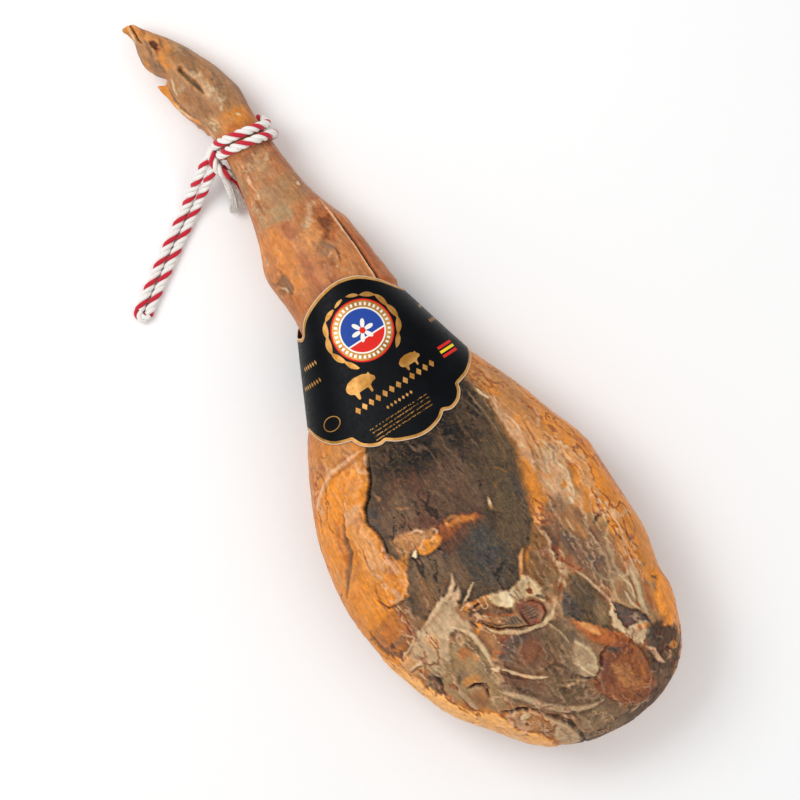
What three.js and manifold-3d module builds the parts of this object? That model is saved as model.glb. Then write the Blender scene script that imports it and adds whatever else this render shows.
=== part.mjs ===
// A whole dry-cured ham lying on its skin side, with a paper collar round the shank and a rope hitched
// to the hock. Millimetres, +Z up. X runs from the tip of the foot to the butt, the inner (meat) side
// faces +Z, and the back of the leg, with its tendon, faces +Y. The origin is under the middle of the
// ham, on the surface it lies on.
import * as THREE from "three";
import { mergeVertices } from "three/addons/utils/BufferGeometryUtils.js";
import Module from "manifold-3d";

const wasm = await Module();
wasm.setup();

// Driving dimensions
const HAM_LENGTH = 768; // tip of the foot to the end of the butt
const ROPE_RADIUS = 4.3; // three-strand cotton rope, 8.6 mm thick
const LYING = ROPE_RADIUS + 0.1; // level of the rope's middle line where it lies on the surface
const CARD = 0.7; // thickness of the collar's card
const GAP = 0.35; // left between pieces that touch
const RING_SIDES = 40; // facets round the leg
const RINGS_PER_STATION = 2;
const TUBE_SIDES = 8;
const MIDDLE = 0.48; // the widest level of a section, as a share of its height
const UPRIGHT = new THREE.Vector3(0, 0, 1);

// Cross-sections of the leg. Each row is: distance from the tip of the foot, back edge (+Y), front edge (-Y),
// height of the meat side, height of the skin side. A skin side under zero is pressed flat on the surface.
const STATIONS = [
  [1, -9, -18, 31, 24],
  [13, -1, -15.5, 36, 20],
  [28, 10, -20, 41, 15],
  [43, 20, -20.5, 45, 11],
  [58, 26.5, -14, 48, 8.5],
  [73, 33.5, -18, 50, 7],
  [88, 37.5, -14, 53, 7],
  [103, 41, -10, 55, 8],
  [121, 39, -4.5, 56, 11],
  [138, 39, -4, 57, 14],
  [158, 39.5, -5, 60, 15],
  [183, 41, -9, 63, 15],
  [208, 43.5, -15, 67, 15],
  [233, 51, -22, 74, 14],
  [253, 58, -31, 80, 13],
  [268, 59.5, -33, 83.5, 12],
  [293, 61.5, -31, 89, 12],
  [318, 64, -32.5, 93, 11],
  [343, 67, -41, 98, 9.5],
  [368, 72.8, -56, 103, 8],
  [393, 78.8, -75, 108, 5.5],
  [418, 88, -91, 112, 3],
  [443, 99, -104, 116, -1],
  [468, 108.5, -116, 119, -3],
  [498, 118, -125.5, 122.5, -5],
  [528, 129, -131.5, 125.5, -5],
  [558, 133.3, -133.5, 127.5, -5],
  [588, 133.3, -131, 128, -5],
  [618, 131.5, -124.5, 126.5, -4],
  [643, 127.5, -117, 124, -2],
  [663, 122, -110.5, 120.5, 1],
  [683, 122, -99, 115.5, 5],
  [703, 115.5, -83, 108.5, 10],
  [723, 107.5, -68.7, 99, 16],
  [741, 96, -53, 87.5, 24],
  [755, 77, -32, 76, 33],
  [764, 54, -10, 65, 43],
];
const FOOT_TIP = new THREE.Vector3(0, -13.5, 27.5);
const BUTT_END = new THREE.Vector3(HAM_LENGTH, 26, 54);
const SQUARENESS = { foot: 2.05, thigh: 2.35, skin: 2.05 }; // exponents of the sections' outline
const THIGH_FROM = 250; // the meat side turns squarer from here
const THIGH_TO = 450;

// The collar is a cone of card ruled between two ovals: [station, back edge, front edge, top, underside]
const COLLAR_NECK = [293, 58.2, -27.4, 91.6, 8.3];
const COLLAR_HEM = [453, 96.6, -107.5, 119.8, -2.6];
const COLLAR_COLUMNS = 72;
const COLLAR_ROWS = 5;
// Station of the neck edge at angles round the leg, from the back edge (0) over the meat side (90)
const NECK_EDGE = [
  [0, 328],
  [20, 333],
  [45, 315],
  [70, 300],
  [92, 296],
  [115, 302],
  [140, 315],
  [162, 323],
  [180, 318],
  [225, 309],
  [270, 305],
  [315, 313],
];
// Points where the lobes of the hem meet, as [angle, station], and how far each lobe swells after its point
const HEM_POINTS = [
  [-5, 397],
  [51, 433],
  [69.6, 444],
  [98.8, 439],
  [113.8, 423],
  [180, 383],
];
const HEM_SWELL = [3.2, 6, 11, 5.5, 3.5, -8];

// The rope: two turns round the hock, a hitch at the front edge, a hanging loop and two frayed ends
const TURN_STATIONS = [139, 149.2];
const TURN_LEAN = 0.16; // the turns lean towards the butt at the back edge
const TURN_REACH = 26; // half the width of a turn
const TURN_POINTS = 16;
const TURN_ENDS = 20; // degrees left open for the hitch on each side of the front edge
const KNOT = { at: [145, -15.5, 31], radii: [12, 6.5, 10] };
// Route of the loop's middle line, from the hitch down to the surface, with the two legs side by side
const LOOP_ROUTE = [
  [146.5, -21, 31],
  [149.5, -26, 29.5],
  [154, -33.5, 24],
  [159.5, -42.5, 15],
  [165.5, -52.5, 8],
  [172, -63, 5],
  [180, -76, LYING],
  [190, -92, LYING],
  [202, -110.5, LYING],
  [213, -127.5, LYING],
  [223, -142, LYING],
];
const TURN_STEPS = 24;
const LEG_STEPS = 12;
const LOOP_END_STEPS = 6;
const FRAYED_ENDS = [
  { name: "rope_frayed_end_long", from: [162, -15, 23], to: [192, -27, 6], radii: [3.2, 5.2] },
  { name: "rope_frayed_end_short", from: [164, -9.5, 15], to: [193, -15.5, 5.4], radii: [3, 4.5] },
];

const COLOURS = {
  ham: { color: 0xb06a2c, roughness: 0.55, metalness: 0 },
  collar: { color: 0x0b0f14, roughness: 0.3, metalness: 0 },
  rope: { color: 0xe6e1d8, roughness: 0.9, metalness: 0 },
};

const radians = THREE.MathUtils.degToRad;
const lerp = THREE.MathUtils.lerp;

/** A smooth value between four evenly numbered neighbours, t from 0 (b) to 1 (c). */
function smooth(a, b, c, d, t) {
  const slopeB = (c - a) / 2;
  const slopeC = (d - b) / 2;
  const swing = 2 * (b - c) + slopeB + slopeC;
  return b + t * (slopeB + t * (3 * (c - b) - 2 * slopeB - slopeC + t * swing));
}

/** A station part of the way between two rows of a table. */
function between(table, row, t) {
  const at = (i) => table[THREE.MathUtils.clamp(i, 0, table.length - 1)];
  return table[row].map((_, k) => smooth(at(row - 1)[k], at(row)[k], at(row + 1)[k], at(row + 2)[k], t));
}

/** A point on the outline of a section, swollen outwards by a margin. */
function outline([station, back, front, top, under], angle, squareness, margin = 0) {
  const level = lerp(under, top, MIDDLE);
  const rise = Math.sin(angle);
  const run = Math.cos(angle);
  const exponent = 2 / (rise > 0 ? squareness : SQUARENESS.skin);
  const half = (back - front) / 2 + margin;
  const height = (rise > 0 ? top - level : level - under) + margin;
  return new THREE.Vector3(
    station,
    (back + front) / 2 + half * Math.sign(run) * Math.abs(run) ** exponent,
    level + height * Math.sign(rise) * Math.abs(rise) ** exponent,
  );
}

/** How square the meat side is at a station. */
function squarenessAt(station) {
  return lerp(SQUARENESS.foot, SQUARENESS.thigh, THREE.MathUtils.smoothstep(station, THIGH_FROM, THIGH_TO));
}

/** The leg's cross-section at any station. */
function sectionAt(station) {
  const row = STATIONS.findIndex((_, i) => station < STATIONS[i + 1][0]);
  const [from, to] = [STATIONS[row][0], STATIONS[row + 1][0]];
  return between(STATIONS, row, (station - from) / (to - from));
}

/** A geometry from points and triangles. */
function meshOf(points, triangles) {
  return new THREE.BufferGeometry().setFromPoints(points).setIndex(triangles);
}

/** The two triangles between a pair of points on one ring and the pair on the next. */
function quad(a, b, c, d) {
  return [a, b, c, a, c, d];
}

/** A closed body through rings of equally many points, drawn to a point at each end. */
function loft(rings, firstTip, lastTip) {
  const sides = rings[0].length;
  const points = [...rings.flat(), firstTip, lastTip];
  const [first, last] = [points.length - 2, points.length - 1];
  const triangles = [];
  for (let i = 0; i < sides; i++) {
    const next = (i + 1) % sides;
    const end = (rings.length - 1) * sides;
    triangles.push(first, next, i, last, end + i, end + next);
    for (let r = 0; r + 1 < rings.length; r++) {
      triangles.push(...quad(r * sides + i, r * sides + next, (r + 1) * sides + next, (r + 1) * sides + i));
    }
  }
  return meshOf(points, triangles);
}

/** The whole leg: foot, hock, shank, thigh and butt, grown as one. */
function hamGeometry() {
  const rings = [];
  for (let row = 0; row + 1 < STATIONS.length; row++) {
    for (let step = 0; step < RINGS_PER_STATION; step++) {
      rings.push(between(STATIONS, row, step / RINGS_PER_STATION));
    }
  }
  rings.push(STATIONS.at(-1));
  const sections = rings.map((section) =>
    Array.from({ length: RING_SIDES }, (_, i) => {
      const point = outline(section, (2 * Math.PI * i) / RING_SIDES, squarenessAt(section[0]));
      point.z = Math.max(point.z, 0);
      return point;
    }),
  );
  return loft(sections, FOOT_TIP, BUTT_END);
}

/** Station of the collar's neck edge at an angle in degrees round the leg. */
function neckEdge(degrees) {
  const count = NECK_EDGE.length;
  const wrapped = NECK_EDGE.concat([[360, NECK_EDGE[0][1]]]);
  const row = wrapped.findIndex(([angle], i) => i < count && degrees < wrapped[i + 1][0]);
  const value = (i) => NECK_EDGE[(i + count) % count][1];
  const t = (degrees - wrapped[row][0]) / (wrapped[row + 1][0] - wrapped[row][0]);
  return smooth(value(row - 1), value(row), value(row + 1), value(row + 2), t);
}

/** Station of the collar's lobed hem at an angle in degrees. */
function hemEdge(degrees) {
  const turned = degrees >= 360 + HEM_POINTS[0][0] ? degrees - 360 : degrees;
  const closed = HEM_POINTS.concat([[360 + HEM_POINTS[0][0], HEM_POINTS[0][1]]]);
  const row = HEM_POINTS.findIndex((_, i) => turned < closed[i + 1][0]);
  const t = (turned - closed[row][0]) / (closed[row + 1][0] - closed[row][0]);
  const swell = HEM_SWELL[row] * Math.sqrt(1 - (2 * t - 1) ** 2);
  return lerp(closed[row][1], closed[row + 1][1], t) + swell;
}

/** A point on the collar's inner or outer face. */
function collarPoint(station, degrees, margin) {
  const t = (station - COLLAR_NECK[0]) / (COLLAR_HEM[0] - COLLAR_NECK[0]);
  const section = COLLAR_NECK.map((value, k) => lerp(value, COLLAR_HEM[k], t));
  return outline(section, radians(degrees), SQUARENESS.thigh, margin);
}

/** The card collar: a lobed cone, open at both ends. */
function collarGeometry() {
  const points = [];
  const triangles = [];
  const loopLength = 2 * (COLLAR_ROWS + 1); // the inner face from neck to hem, then the outer face back
  for (let column = 0; column < COLLAR_COLUMNS; column++) {
    const degrees = (360 * column) / COLLAR_COLUMNS;
    for (let i = 0; i < loopLength; i++) {
      const outer = i > COLLAR_ROWS;
      const row = outer ? loopLength - 1 - i : i;
      const station = lerp(neckEdge(degrees), hemEdge(degrees), row / COLLAR_ROWS);
      points.push(collarPoint(station, degrees, outer ? GAP + CARD : GAP));
      const here = column * loopLength;
      const there = ((column + 1) % COLLAR_COLUMNS) * loopLength;
      const next = (i + 1) % loopLength;
      triangles.push(...quad(here + i, here + next, there + next, there + i));
    }
  }
  return meshOf(points, triangles);
}

/** A round tube along a curve, with closed ends. */
function tubeGeometry(curve, radius, steps) {
  const section = new THREE.Shape().absarc(0, 0, radius, 0, 2 * Math.PI);
  const options = { extrudePath: curve, steps, curveSegments: TUBE_SIDES / 2, bevelEnabled: false };
  return new THREE.ExtrudeGeometry(section, options);
}

/** The line of one turn of the rope round the hock, open at the hitch. */
function turnCurve(station) {
  const points = Array.from({ length: TURN_POINTS + 1 }, (_, i) => {
    const angle = radians(180 + TURN_ENDS + ((360 - 2 * TURN_ENDS) * i) / TURN_POINTS);
    const leaning = station + TURN_LEAN * TURN_REACH * Math.cos(angle);
    return outline(sectionAt(leaning), angle, squarenessAt(leaning), ROPE_RADIUS + GAP);
  });
  return new THREE.CatmullRomCurve3(points);
}

/** The line of one leg of the hanging loop, on the side given by sign. */
function legCurve(sign) {
  const line = LOOP_ROUTE.map((point) => new THREE.Vector3(...point));
  const points = line.map((point, i) => {
    const ahead = line[Math.min(i + 1, line.length - 1)].clone().sub(line[Math.max(i - 1, 0)]);
    const across = UPRIGHT.clone().cross(ahead).normalize();
    return point.clone().addScaledVector(across, sign * (ROPE_RADIUS + GAP / 2));
  });
  return new THREE.CatmullRomCurve3(points);
}

/** A half circle about a centre, from the across side over the ahead side. */
class HalfTurn extends THREE.Curve {
  constructor(centre, across, ahead, radius) {
    super();
    Object.assign(this, { centre, across, ahead, radius });
  }

  getPoint(t) {
    return this.centre
      .clone()
      .addScaledVector(this.across, this.radius * Math.cos(Math.PI * t))
      .addScaledVector(this.ahead, this.radius * Math.sin(Math.PI * t));
  }
}

/** The half turn that joins the ends of the loop's two legs. */
function loopEndCurve() {
  const [before, last] = LOOP_ROUTE.slice(-2).map((point) => new THREE.Vector3(...point));
  const ahead = last.clone().sub(before).normalize();
  const across = UPRIGHT.clone().cross(ahead).normalize();
  return new HalfTurn(last.clone().addScaledVector(ahead, 2 * GAP), across, ahead, ROPE_RADIUS + GAP / 2);
}

/** A geometry as a manifold-3d solid. */
function solidOf(geometry) {
  const bare = geometry.clone();
  bare.deleteAttribute("normal");
  bare.deleteAttribute("uv");
  const merged = mergeVertices(bare, 1e-3);
  return new wasm.Manifold(
    new wasm.Mesh({
      numProp: 3,
      vertProperties: new Float32Array(merged.attributes.position.array),
      triVerts: new Uint32Array(merged.index.array),
    }),
  );
}

/** A manifold-3d solid as a geometry. */
function geometryOf(solid) {
  const { vertProperties, triVerts } = solid.getMesh();
  return new THREE.BufferGeometry()
    .setAttribute("position", new THREE.BufferAttribute(vertProperties, 3))
    .setIndex(new THREE.BufferAttribute(triVerts, 1));
}

/** The lump of the hitch, hollowed where the turns and the loop's legs run into it. */
function knotGeometry() {
  const lump = new THREE.SphereGeometry(1, 16, 10).scale(...KNOT.radii).translate(...KNOT.at);
  const runs = [
    ...TURN_STATIONS.map((station) => tubeGeometry(turnCurve(station), ROPE_RADIUS + GAP, TURN_STEPS)),
    ...[1, -1].map((sign) => tubeGeometry(legCurve(sign), ROPE_RADIUS + GAP, LEG_STEPS)),
  ];
  const cut = runs.reduce((solid, run) => solid.subtract(solidOf(run)), solidOf(lump));
  const lumps = cut.decompose().sort((a, b) => b.volume() - a.volume());
  return geometryOf(lumps[0]);
}

/** A frayed rope end: a cone that widens from the hitch. */
function frayedEndGeometry({ from, to, radii }) {
  const [start, end] = [new THREE.Vector3(...from), new THREE.Vector3(...to)];
  const along = end.clone().sub(start);
  const axis = new THREE.Vector3(0, 1, 0); // the way a cylinder is built
  const turn = new THREE.Quaternion().setFromUnitVectors(axis, along.clone().normalize());
  return new THREE.CylinderGeometry(radii[1], radii[0], along.length(), TUBE_SIDES)
    .applyQuaternion(turn)
    .translate(...start.clone().add(end).multiplyScalar(0.5));
}

const group = new THREE.Group();

/** Adds a named piece to the group. */
function add(name, geometry, finish) {
  const piece = new THREE.Mesh(geometry, new THREE.MeshStandardMaterial(COLOURS[finish]));
  piece.name = name;
  group.add(piece);
}

add("ham", hamGeometry(), "ham");
add("collar", collarGeometry(), "collar");
TURN_STATIONS.forEach((station, i) => {
  add(`rope_turn_${i + 1}`, tubeGeometry(turnCurve(station), ROPE_RADIUS, TURN_STEPS), "rope");
});
add("rope_hitch", knotGeometry(), "rope");
add("rope_loop_leg_1", tubeGeometry(legCurve(1), ROPE_RADIUS, LEG_STEPS), "rope");
add("rope_loop_leg_2", tubeGeometry(legCurve(-1), ROPE_RADIUS, LEG_STEPS), "rope");
add("rope_loop_end", tubeGeometry(loopEndCurve(), ROPE_RADIUS, LOOP_END_STEPS), "rope");
for (const end of FRAYED_ENDS) {
  add(end.name, frayedEndGeometry(end), "rope");
}
group.position.x = -HAM_LENGTH / 2;

export default group;
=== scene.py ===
"""A whole dry-cured ham lying on its skin side, with its card collar and its cotton hanging rope.

The ham's skin and meat are one carved and painted mesh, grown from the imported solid. The collar is a
lobed cone of printed card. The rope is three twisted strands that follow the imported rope's routes.
"""

import logging
import math
from collections.abc import Sequence
from dataclasses import dataclass, field
from enum import Enum
from functools import cache

import bmesh
import bpy
import numpy as np
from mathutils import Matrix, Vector


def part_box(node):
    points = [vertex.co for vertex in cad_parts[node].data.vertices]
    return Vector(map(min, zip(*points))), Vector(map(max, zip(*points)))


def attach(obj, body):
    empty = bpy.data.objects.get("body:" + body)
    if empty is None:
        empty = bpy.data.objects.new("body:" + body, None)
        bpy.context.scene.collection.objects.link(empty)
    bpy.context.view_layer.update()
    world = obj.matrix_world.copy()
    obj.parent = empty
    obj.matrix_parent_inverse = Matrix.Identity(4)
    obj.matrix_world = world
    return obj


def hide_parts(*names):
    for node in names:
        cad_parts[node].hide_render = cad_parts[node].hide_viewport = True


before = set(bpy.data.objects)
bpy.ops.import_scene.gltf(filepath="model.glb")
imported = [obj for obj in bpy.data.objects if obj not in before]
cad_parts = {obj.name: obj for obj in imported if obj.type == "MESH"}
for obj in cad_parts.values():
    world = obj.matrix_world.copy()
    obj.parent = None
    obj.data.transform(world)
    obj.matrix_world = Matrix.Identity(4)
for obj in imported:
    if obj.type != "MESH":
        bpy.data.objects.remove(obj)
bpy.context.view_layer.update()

MM = 0.001
Array = np.ndarray
Point = tuple[float, float]
Place = tuple[float, float, float]
Face = tuple[int, ...]
Piece = bpy.types.Object
Socket = bpy.types.NodeSocket
log = logging.getLogger("cured_ham")


# --- Small tools --------------------------------------------------------------------------------------


def linear(code: str) -> Array:
    """A screen colour such as "D28035" as linear red, green and blue."""
    screen = np.array([int(code[i : i + 2], 16) for i in (0, 2, 4)]) / 255
    return np.where(screen <= 0.04045, screen / 12.92, ((screen + 0.055) / 1.055) ** 2.4)


def ease(low: float, high: float, value: Array) -> Array:
    """A smooth step from 0 at low to 1 at high."""
    share = np.clip((value - low) / (high - low), 0, 1)
    return share * share * (3 - 2 * share)


def segment_distance(points: Array, start: Array, end: Array) -> tuple[Array, Array]:
    """Distance of points from a line segment.

    Args:
        points: Points in the plane or in space, one a row.
        start: The segment's first end.
        end: The segment's other end.

    Returns:
        Each point's distance, and how far along the segment its nearest point lies, from 0 to 1.
    """
    along = end - start
    share = np.clip((points - start) @ along / max(along @ along, 1e-12), 0, 1)
    return np.linalg.norm(points - start - share[:, None] * along, axis=1), share


def inside(points: Array, outline: Array) -> Array:
    """Finds the points of the plane that lie in a closed outline.

    Args:
        points: The points, one a row.
        outline: The outline's corners, one a row.

    Returns:
        True for each point that lies in it.
    """
    result = np.zeros(len(points), bool)
    for (x0, y0), (x1, y1) in zip(outline, np.roll(outline, -1, axis=0)):
        if y0 == y1:
            continue
        crosses = (y0 > points[:, 1]) != (y1 > points[:, 1])
        result ^= crosses & (points[:, 0] < x0 + (points[:, 1] - y0) * (x1 - x0) / (y1 - y0))
    return result


def outline_distance(points: Array, outline: Array) -> Array:
    """Measures how far points of the plane are from a closed outline.

    Args:
        points: The points, one a row.
        outline: The outline's corners, one a row.

    Returns:
        Each point's distance, less than zero inside the outline.
    """
    near = np.full(len(points), np.inf)
    for start, end in zip(outline, np.roll(outline, -1, axis=0)):
        near = np.minimum(near, segment_distance(points, start, end)[0])
    return np.where(inside(points, outline), -near, near)


def spline(points: Sequence[Sequence[float]], steps: int) -> Array:
    """Draws a smooth curve through points.

    Args:
        points: The points, in the plane or in space.
        steps: How many steps each span between two of them takes.

    Returns:
        The curve's points, one a row.
    """
    knots = np.asarray(points, float)
    padded = np.vstack([2 * knots[0] - knots[1], knots, 2 * knots[-1] - knots[-2]])
    rows = []
    for a, b, c, d in zip(padded, padded[1:], padded[2:], padded[3:]):
        for t in np.arange(steps) / steps:
            swing = (2 * b - 2 * c + (c - a) / 2 + (d - b) / 2) * t**3
            bend = (3 * (c - b) - (c - a) - (d - b) / 2) * t**2
            rows.append(b + (c - a) / 2 * t + bend + swing)
    return np.array([*rows, knots[-1]])


def run_along(path: Array) -> Array:
    """How far along a line each of its points lies."""
    return np.concatenate([[0], np.cumsum(np.linalg.norm(np.diff(path, axis=0), axis=1))])


def evenly(path: Array, step: float) -> Array:
    """Spreads a line's points evenly.

    Args:
        path: The line's points, one a row.
        step: About how far apart they come.

    Returns:
        The line with its new points.
    """
    run = run_along(path)
    places = np.linspace(0, run[-1], max(3, round(run[-1] / step) + 1))
    return np.column_stack([np.interp(places, run, path[:, k]) for k in range(path.shape[1])])


def frames(path: Array) -> tuple[Array, Array]:
    """Finds two directions across a line that don't spin about it.

    Args:
        path: The line's points, one a row.

    Returns:
        The first direction and the second at each point, square to the line and to each other.
    """
    tangents = np.gradient(path, axis=0)
    tangents /= np.linalg.norm(tangents, axis=1)[:, None]
    start = np.cross(tangents[0], [0.3, 0.2, 1.0])
    across = [start / np.linalg.norm(start)]
    for tangent in tangents[1:]:
        kept = across[-1] - tangent * (across[-1] @ tangent)
        across.append(kept / np.linalg.norm(kept))
    return np.array(across), np.cross(tangents, across)


def tube(path: Array, thick: Array, sides: int, base: int) -> tuple[Array, list[Face]]:
    """Shapes a tube with closed ends along a line.

    Args:
        path: The line's points, one a row.
        thick: The tube's radius at each of them.
        sides: How many sides it has.
        base: The number that its first point takes in its mesh.

    Returns:
        Its points and its faces, the two ends last.
    """
    across, beside = (direction[:, None] for direction in frames(path))
    turn = (np.arange(sides) * math.tau / sides)[:, None]
    rings = path[:, None] + thick[:, None, None] * (np.cos(turn) * across + np.sin(turn) * beside)
    faces = []
    for ring in range(base, base + (len(path) - 1) * sides, sides):
        for i in range(sides):
            j = (i + 1) % sides
            faces.append((ring + i, ring + j, ring + sides + j, ring + sides + i))
    last = base + (len(path) - 1) * sides
    faces += [tuple(range(base, base + sides))[::-1], tuple(range(last, last + sides))]
    return rings.reshape(-1, 3), faces


def new_object(name: str, points: Array, faces: Sequence[Face]) -> Piece:
    """Makes a smooth-shaded mesh object in the scene.

    Args:
        name: Its name.
        points: Its points in metres, one a row.
        faces: The numbers of each face's points.

    Returns:
        The object.
    """
    mesh = bpy.data.meshes.new(name)
    mesh.from_pydata(points.tolist(), [], faces)
    mesh.shade_smooth()
    made = bpy.data.objects.new(name, mesh)
    bpy.context.scene.collection.objects.link(made)
    return made


def store(mesh: bpy.types.Mesh, name: str, values: Array) -> None:
    """Keeps a number, or a colour, at each point of a mesh for its material to read.

    Args:
        mesh: The mesh.
        name: The name that the material reads it by.
        values: A number or a red, green and blue for each point.
    """
    if values.ndim == 1:
        mesh.attributes.new(name, "FLOAT", "POINT").data.foreach_set("value", values.astype(np.float32))
        return
    rgba = np.column_stack([values, np.ones(len(values))]).astype(np.float32)
    mesh.attributes.new(name, "FLOAT_COLOR", "POINT").data.foreach_set("color", rgba.ravel())


def vectors(owner: bpy.types.bpy_prop_collection, name: str) -> Array:
    """Reads a vector at each point of a mesh.

    Args:
        owner: The mesh's points, or their normals.
        name: The vector's name in them.

    Returns:
        The vectors, one a row.
    """
    values = np.empty(len(owner) * 3, np.float32)
    owner.foreach_get(name, values)
    return values.reshape(-1, 3).astype(float)


def finish_piece(piece: Piece, slot: str, *nodes: str) -> Piece:
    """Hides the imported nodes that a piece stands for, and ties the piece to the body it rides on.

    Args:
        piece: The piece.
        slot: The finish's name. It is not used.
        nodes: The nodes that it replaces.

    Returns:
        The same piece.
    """
    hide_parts(*nodes)
    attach(piece, "root")
    return piece


class Grain:
    """Smooth noise in space, the same on every run."""

    def __init__(self, seed: int) -> None:
        """Draws the lattice that the noise is read from.

        Args:
            seed: What the lattice's values are drawn from.
        """
        draw = np.random.default_rng(seed)
        self.order = draw.permutation(256)
        self.values = draw.uniform(-1, 1, 256)

    def single(self, points: Array) -> Array:
        """Reads noise that changes over a distance of 1.

        Args:
            points: Where it is read, one point a row.

        Returns:
            The noise at each point, from -1 to 1.
        """
        cell = np.floor(points).astype(int)
        share = points - cell
        share = share * share * (3 - 2 * share)
        total = np.zeros(len(points))
        for corner in range(8):
            step = np.array([corner & 1, corner >> 1 & 1, corner >> 2 & 1])
            x, y, z = ((cell + step) & 255).T
            value = self.values[self.order[(self.order[(self.order[x] + y) & 255] + z) & 255]]
            total += value * np.prod(np.where(step, share, 1 - share), axis=1)
        return total

    def at(self, points: Array, size: float, octaves: int = 3) -> Array:
        """Reads noise whose lumps have a size, with finer lumps on them.

        Args:
            points: Where it is read, one point a row.
            size: How far across the largest lumps are.
            octaves: How many sizes of lumps there are.

        Returns:
            The noise at each point, from about -1 to 1.
        """
        total = np.zeros(len(points))
        for octave in range(octaves):
            total += self.single(points / size * 2**octave + 17.3 * octave) / 2**octave
        return total / (2 - 2 ** (1 - octaves)) * 1.6


class Graph:
    """A material and its node tree."""

    def __init__(self, name: str, **shader: object) -> None:
        """Starts a material.

        Args:
            name: Its name.
            shader: Fixed values of its shader, by the sockets' names.
        """
        self.material = bpy.data.materials.new(name)
        self.material.use_nodes = True
        self.nodes = self.material.node_tree.nodes
        self.shader = self.nodes["Principled BSDF"]
        for socket, value in shader.items():
            self.feed(self.shader.inputs[socket.replace("_", " ")], value)

    def feed(self, socket: Socket, value: object) -> None:
        """Links an output to a socket, or sets the socket's value.

        Args:
            socket: The socket.
            value: Another node's output, a colour or a number.
        """
        if isinstance(value, Socket):
            self.material.node_tree.links.new(value, socket)
        elif isinstance(value, np.ndarray):
            socket.default_value = (*value, 1)
        else:
            socket.default_value = value

    def dress(self, **outputs: Socket) -> bpy.types.Material:
        """Links outputs to the shader.

        Args:
            outputs: The outputs, by the names of the shader's sockets.

        Returns:
            The finished material.
        """
        for socket, value in outputs.items():
            self.feed(self.shader.inputs[socket.replace("_", " ")], value)
        return self.material

    def add(self, kind: str, inputs: dict[object, object], **settings: object) -> bpy.types.Node:
        """Adds a node.

        Args:
            kind: The node's kind.
            inputs: What its sockets take, by name or number.
            settings: Its other settings.

        Returns:
            The node.
        """
        node = self.nodes.new("ShaderNode" + kind)
        for name, value in settings.items():
            setattr(node, name, value)
        for key, value in inputs.items():
            self.feed(node.inputs[key], value)
        return node

    def attribute(self, name: str, output: str = "Fac") -> Socket:
        """What the mesh stores under a name."""
        return self.add("Attribute", {}, attribute_name=name).outputs[output]

    def noise(self, size: float, detail: float = 3, stretch: Place = (1, 1, 1)) -> Socket:
        """Adds noise about 0.5.

        Args:
            size: The size of its lumps, in metres.
            detail: How much finer noise lies in them.
            stretch: How many times longer the lumps are along each axis.

        Returns:
            The noise.
        """
        place = {0: self.add("TexCoord", {}).outputs["Object"], 1: stretch}
        scale = self.add("VectorMath", place, operation="DIVIDE").outputs[0]
        return self.add("TexNoise", {"Vector": scale, "Scale": 1 / size, "Detail": detail}).outputs["Fac"]

    def math(self, kind: str, *values: object) -> Socket:
        """One sum."""
        return self.add("Math", dict(enumerate(values)), operation=kind).outputs[0]

    def times(self, first: object, second: object) -> Socket:
        """Two values multiplied."""
        return self.math("MULTIPLY", first, second)

    def remap(self, value: object, low: float, high: float, to_low: float = 0, to_high: float = 1) -> Socket:
        """A value smoothly moved from one range to another, and kept in it."""
        inputs = {"Value": value, "From Min": low, "From Max": high, "To Min": to_low, "To Max": to_high}
        return self.add("MapRange", inputs, interpolation_type="SMOOTHSTEP").outputs["Result"]

    def mix(self, share: object, first: object, second: object, blend: str = "MIX") -> Socket:
        """Two colours mixed."""
        inputs = {0: share, 6: first, 7: second}
        return self.add("Mix", inputs, data_type="RGBA", blend_type=blend).outputs[2]

    def bump(self, height: object, depth: float, under: Socket | None = None) -> Socket:
        """Bumps the surface's normal.

        Args:
            height: The height, from 0 to 1.
            depth: What a height of 1 stands for, in metres.
            under: A normal that is bumped already.

        Returns:
            The normal.
        """
        inputs = {"Height": height, "Distance": depth, "Strength": 1.0}
        if under is not None:
            inputs["Normal"] = under
        return self.add("Bump", inputs).outputs["Normal"]


# --- The ham ------------------------------------------------------------------------------------------


class Tone(Enum):
    """Colours of skin, fat, meat and bone."""

    SKIN = "C2793A"
    SKIN_GOLD = "FAB465"
    FOOT = "B17F52"
    BLOOM = "C9AC88"
    SHANK = "C17B48"
    SHANK_GREY = "AD865C"
    RUSSET = "94482A"
    FAT = "DA8629"
    FAT_BRIGHT = "F1932D"
    FAT_PALE = "E8A25E"
    FAT_RED = "B25E26"
    TAN = "BE8148"
    ROSE = "DBAE86"
    CREAM = "D9BE94"
    BONE = "CCB184"
    BONE_WHITE = "EAD9B0"
    FASCIA = "C8A981"
    STRAW = "A5885F"
    OCHRE = "8F6231"
    OLIVE = "665237"
    LEAN = "5D4836"
    LEAN_DARK = "17110C"
    LEAN_RED = "6A4936"
    LEAN_COOL = "454039"
    BROWN = "81634A"
    SLATE = "4B4845"
    CHARCOAL = "3C332B"
    INK = "1D1512"
    LIVER = "70412F"
    MAROON = "4E1F16"
    MUSCLE = "94522C"

    @property
    def rgb(self) -> Array:
        """The tone as linear red, green and blue."""
        return linear(self.value)


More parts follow.
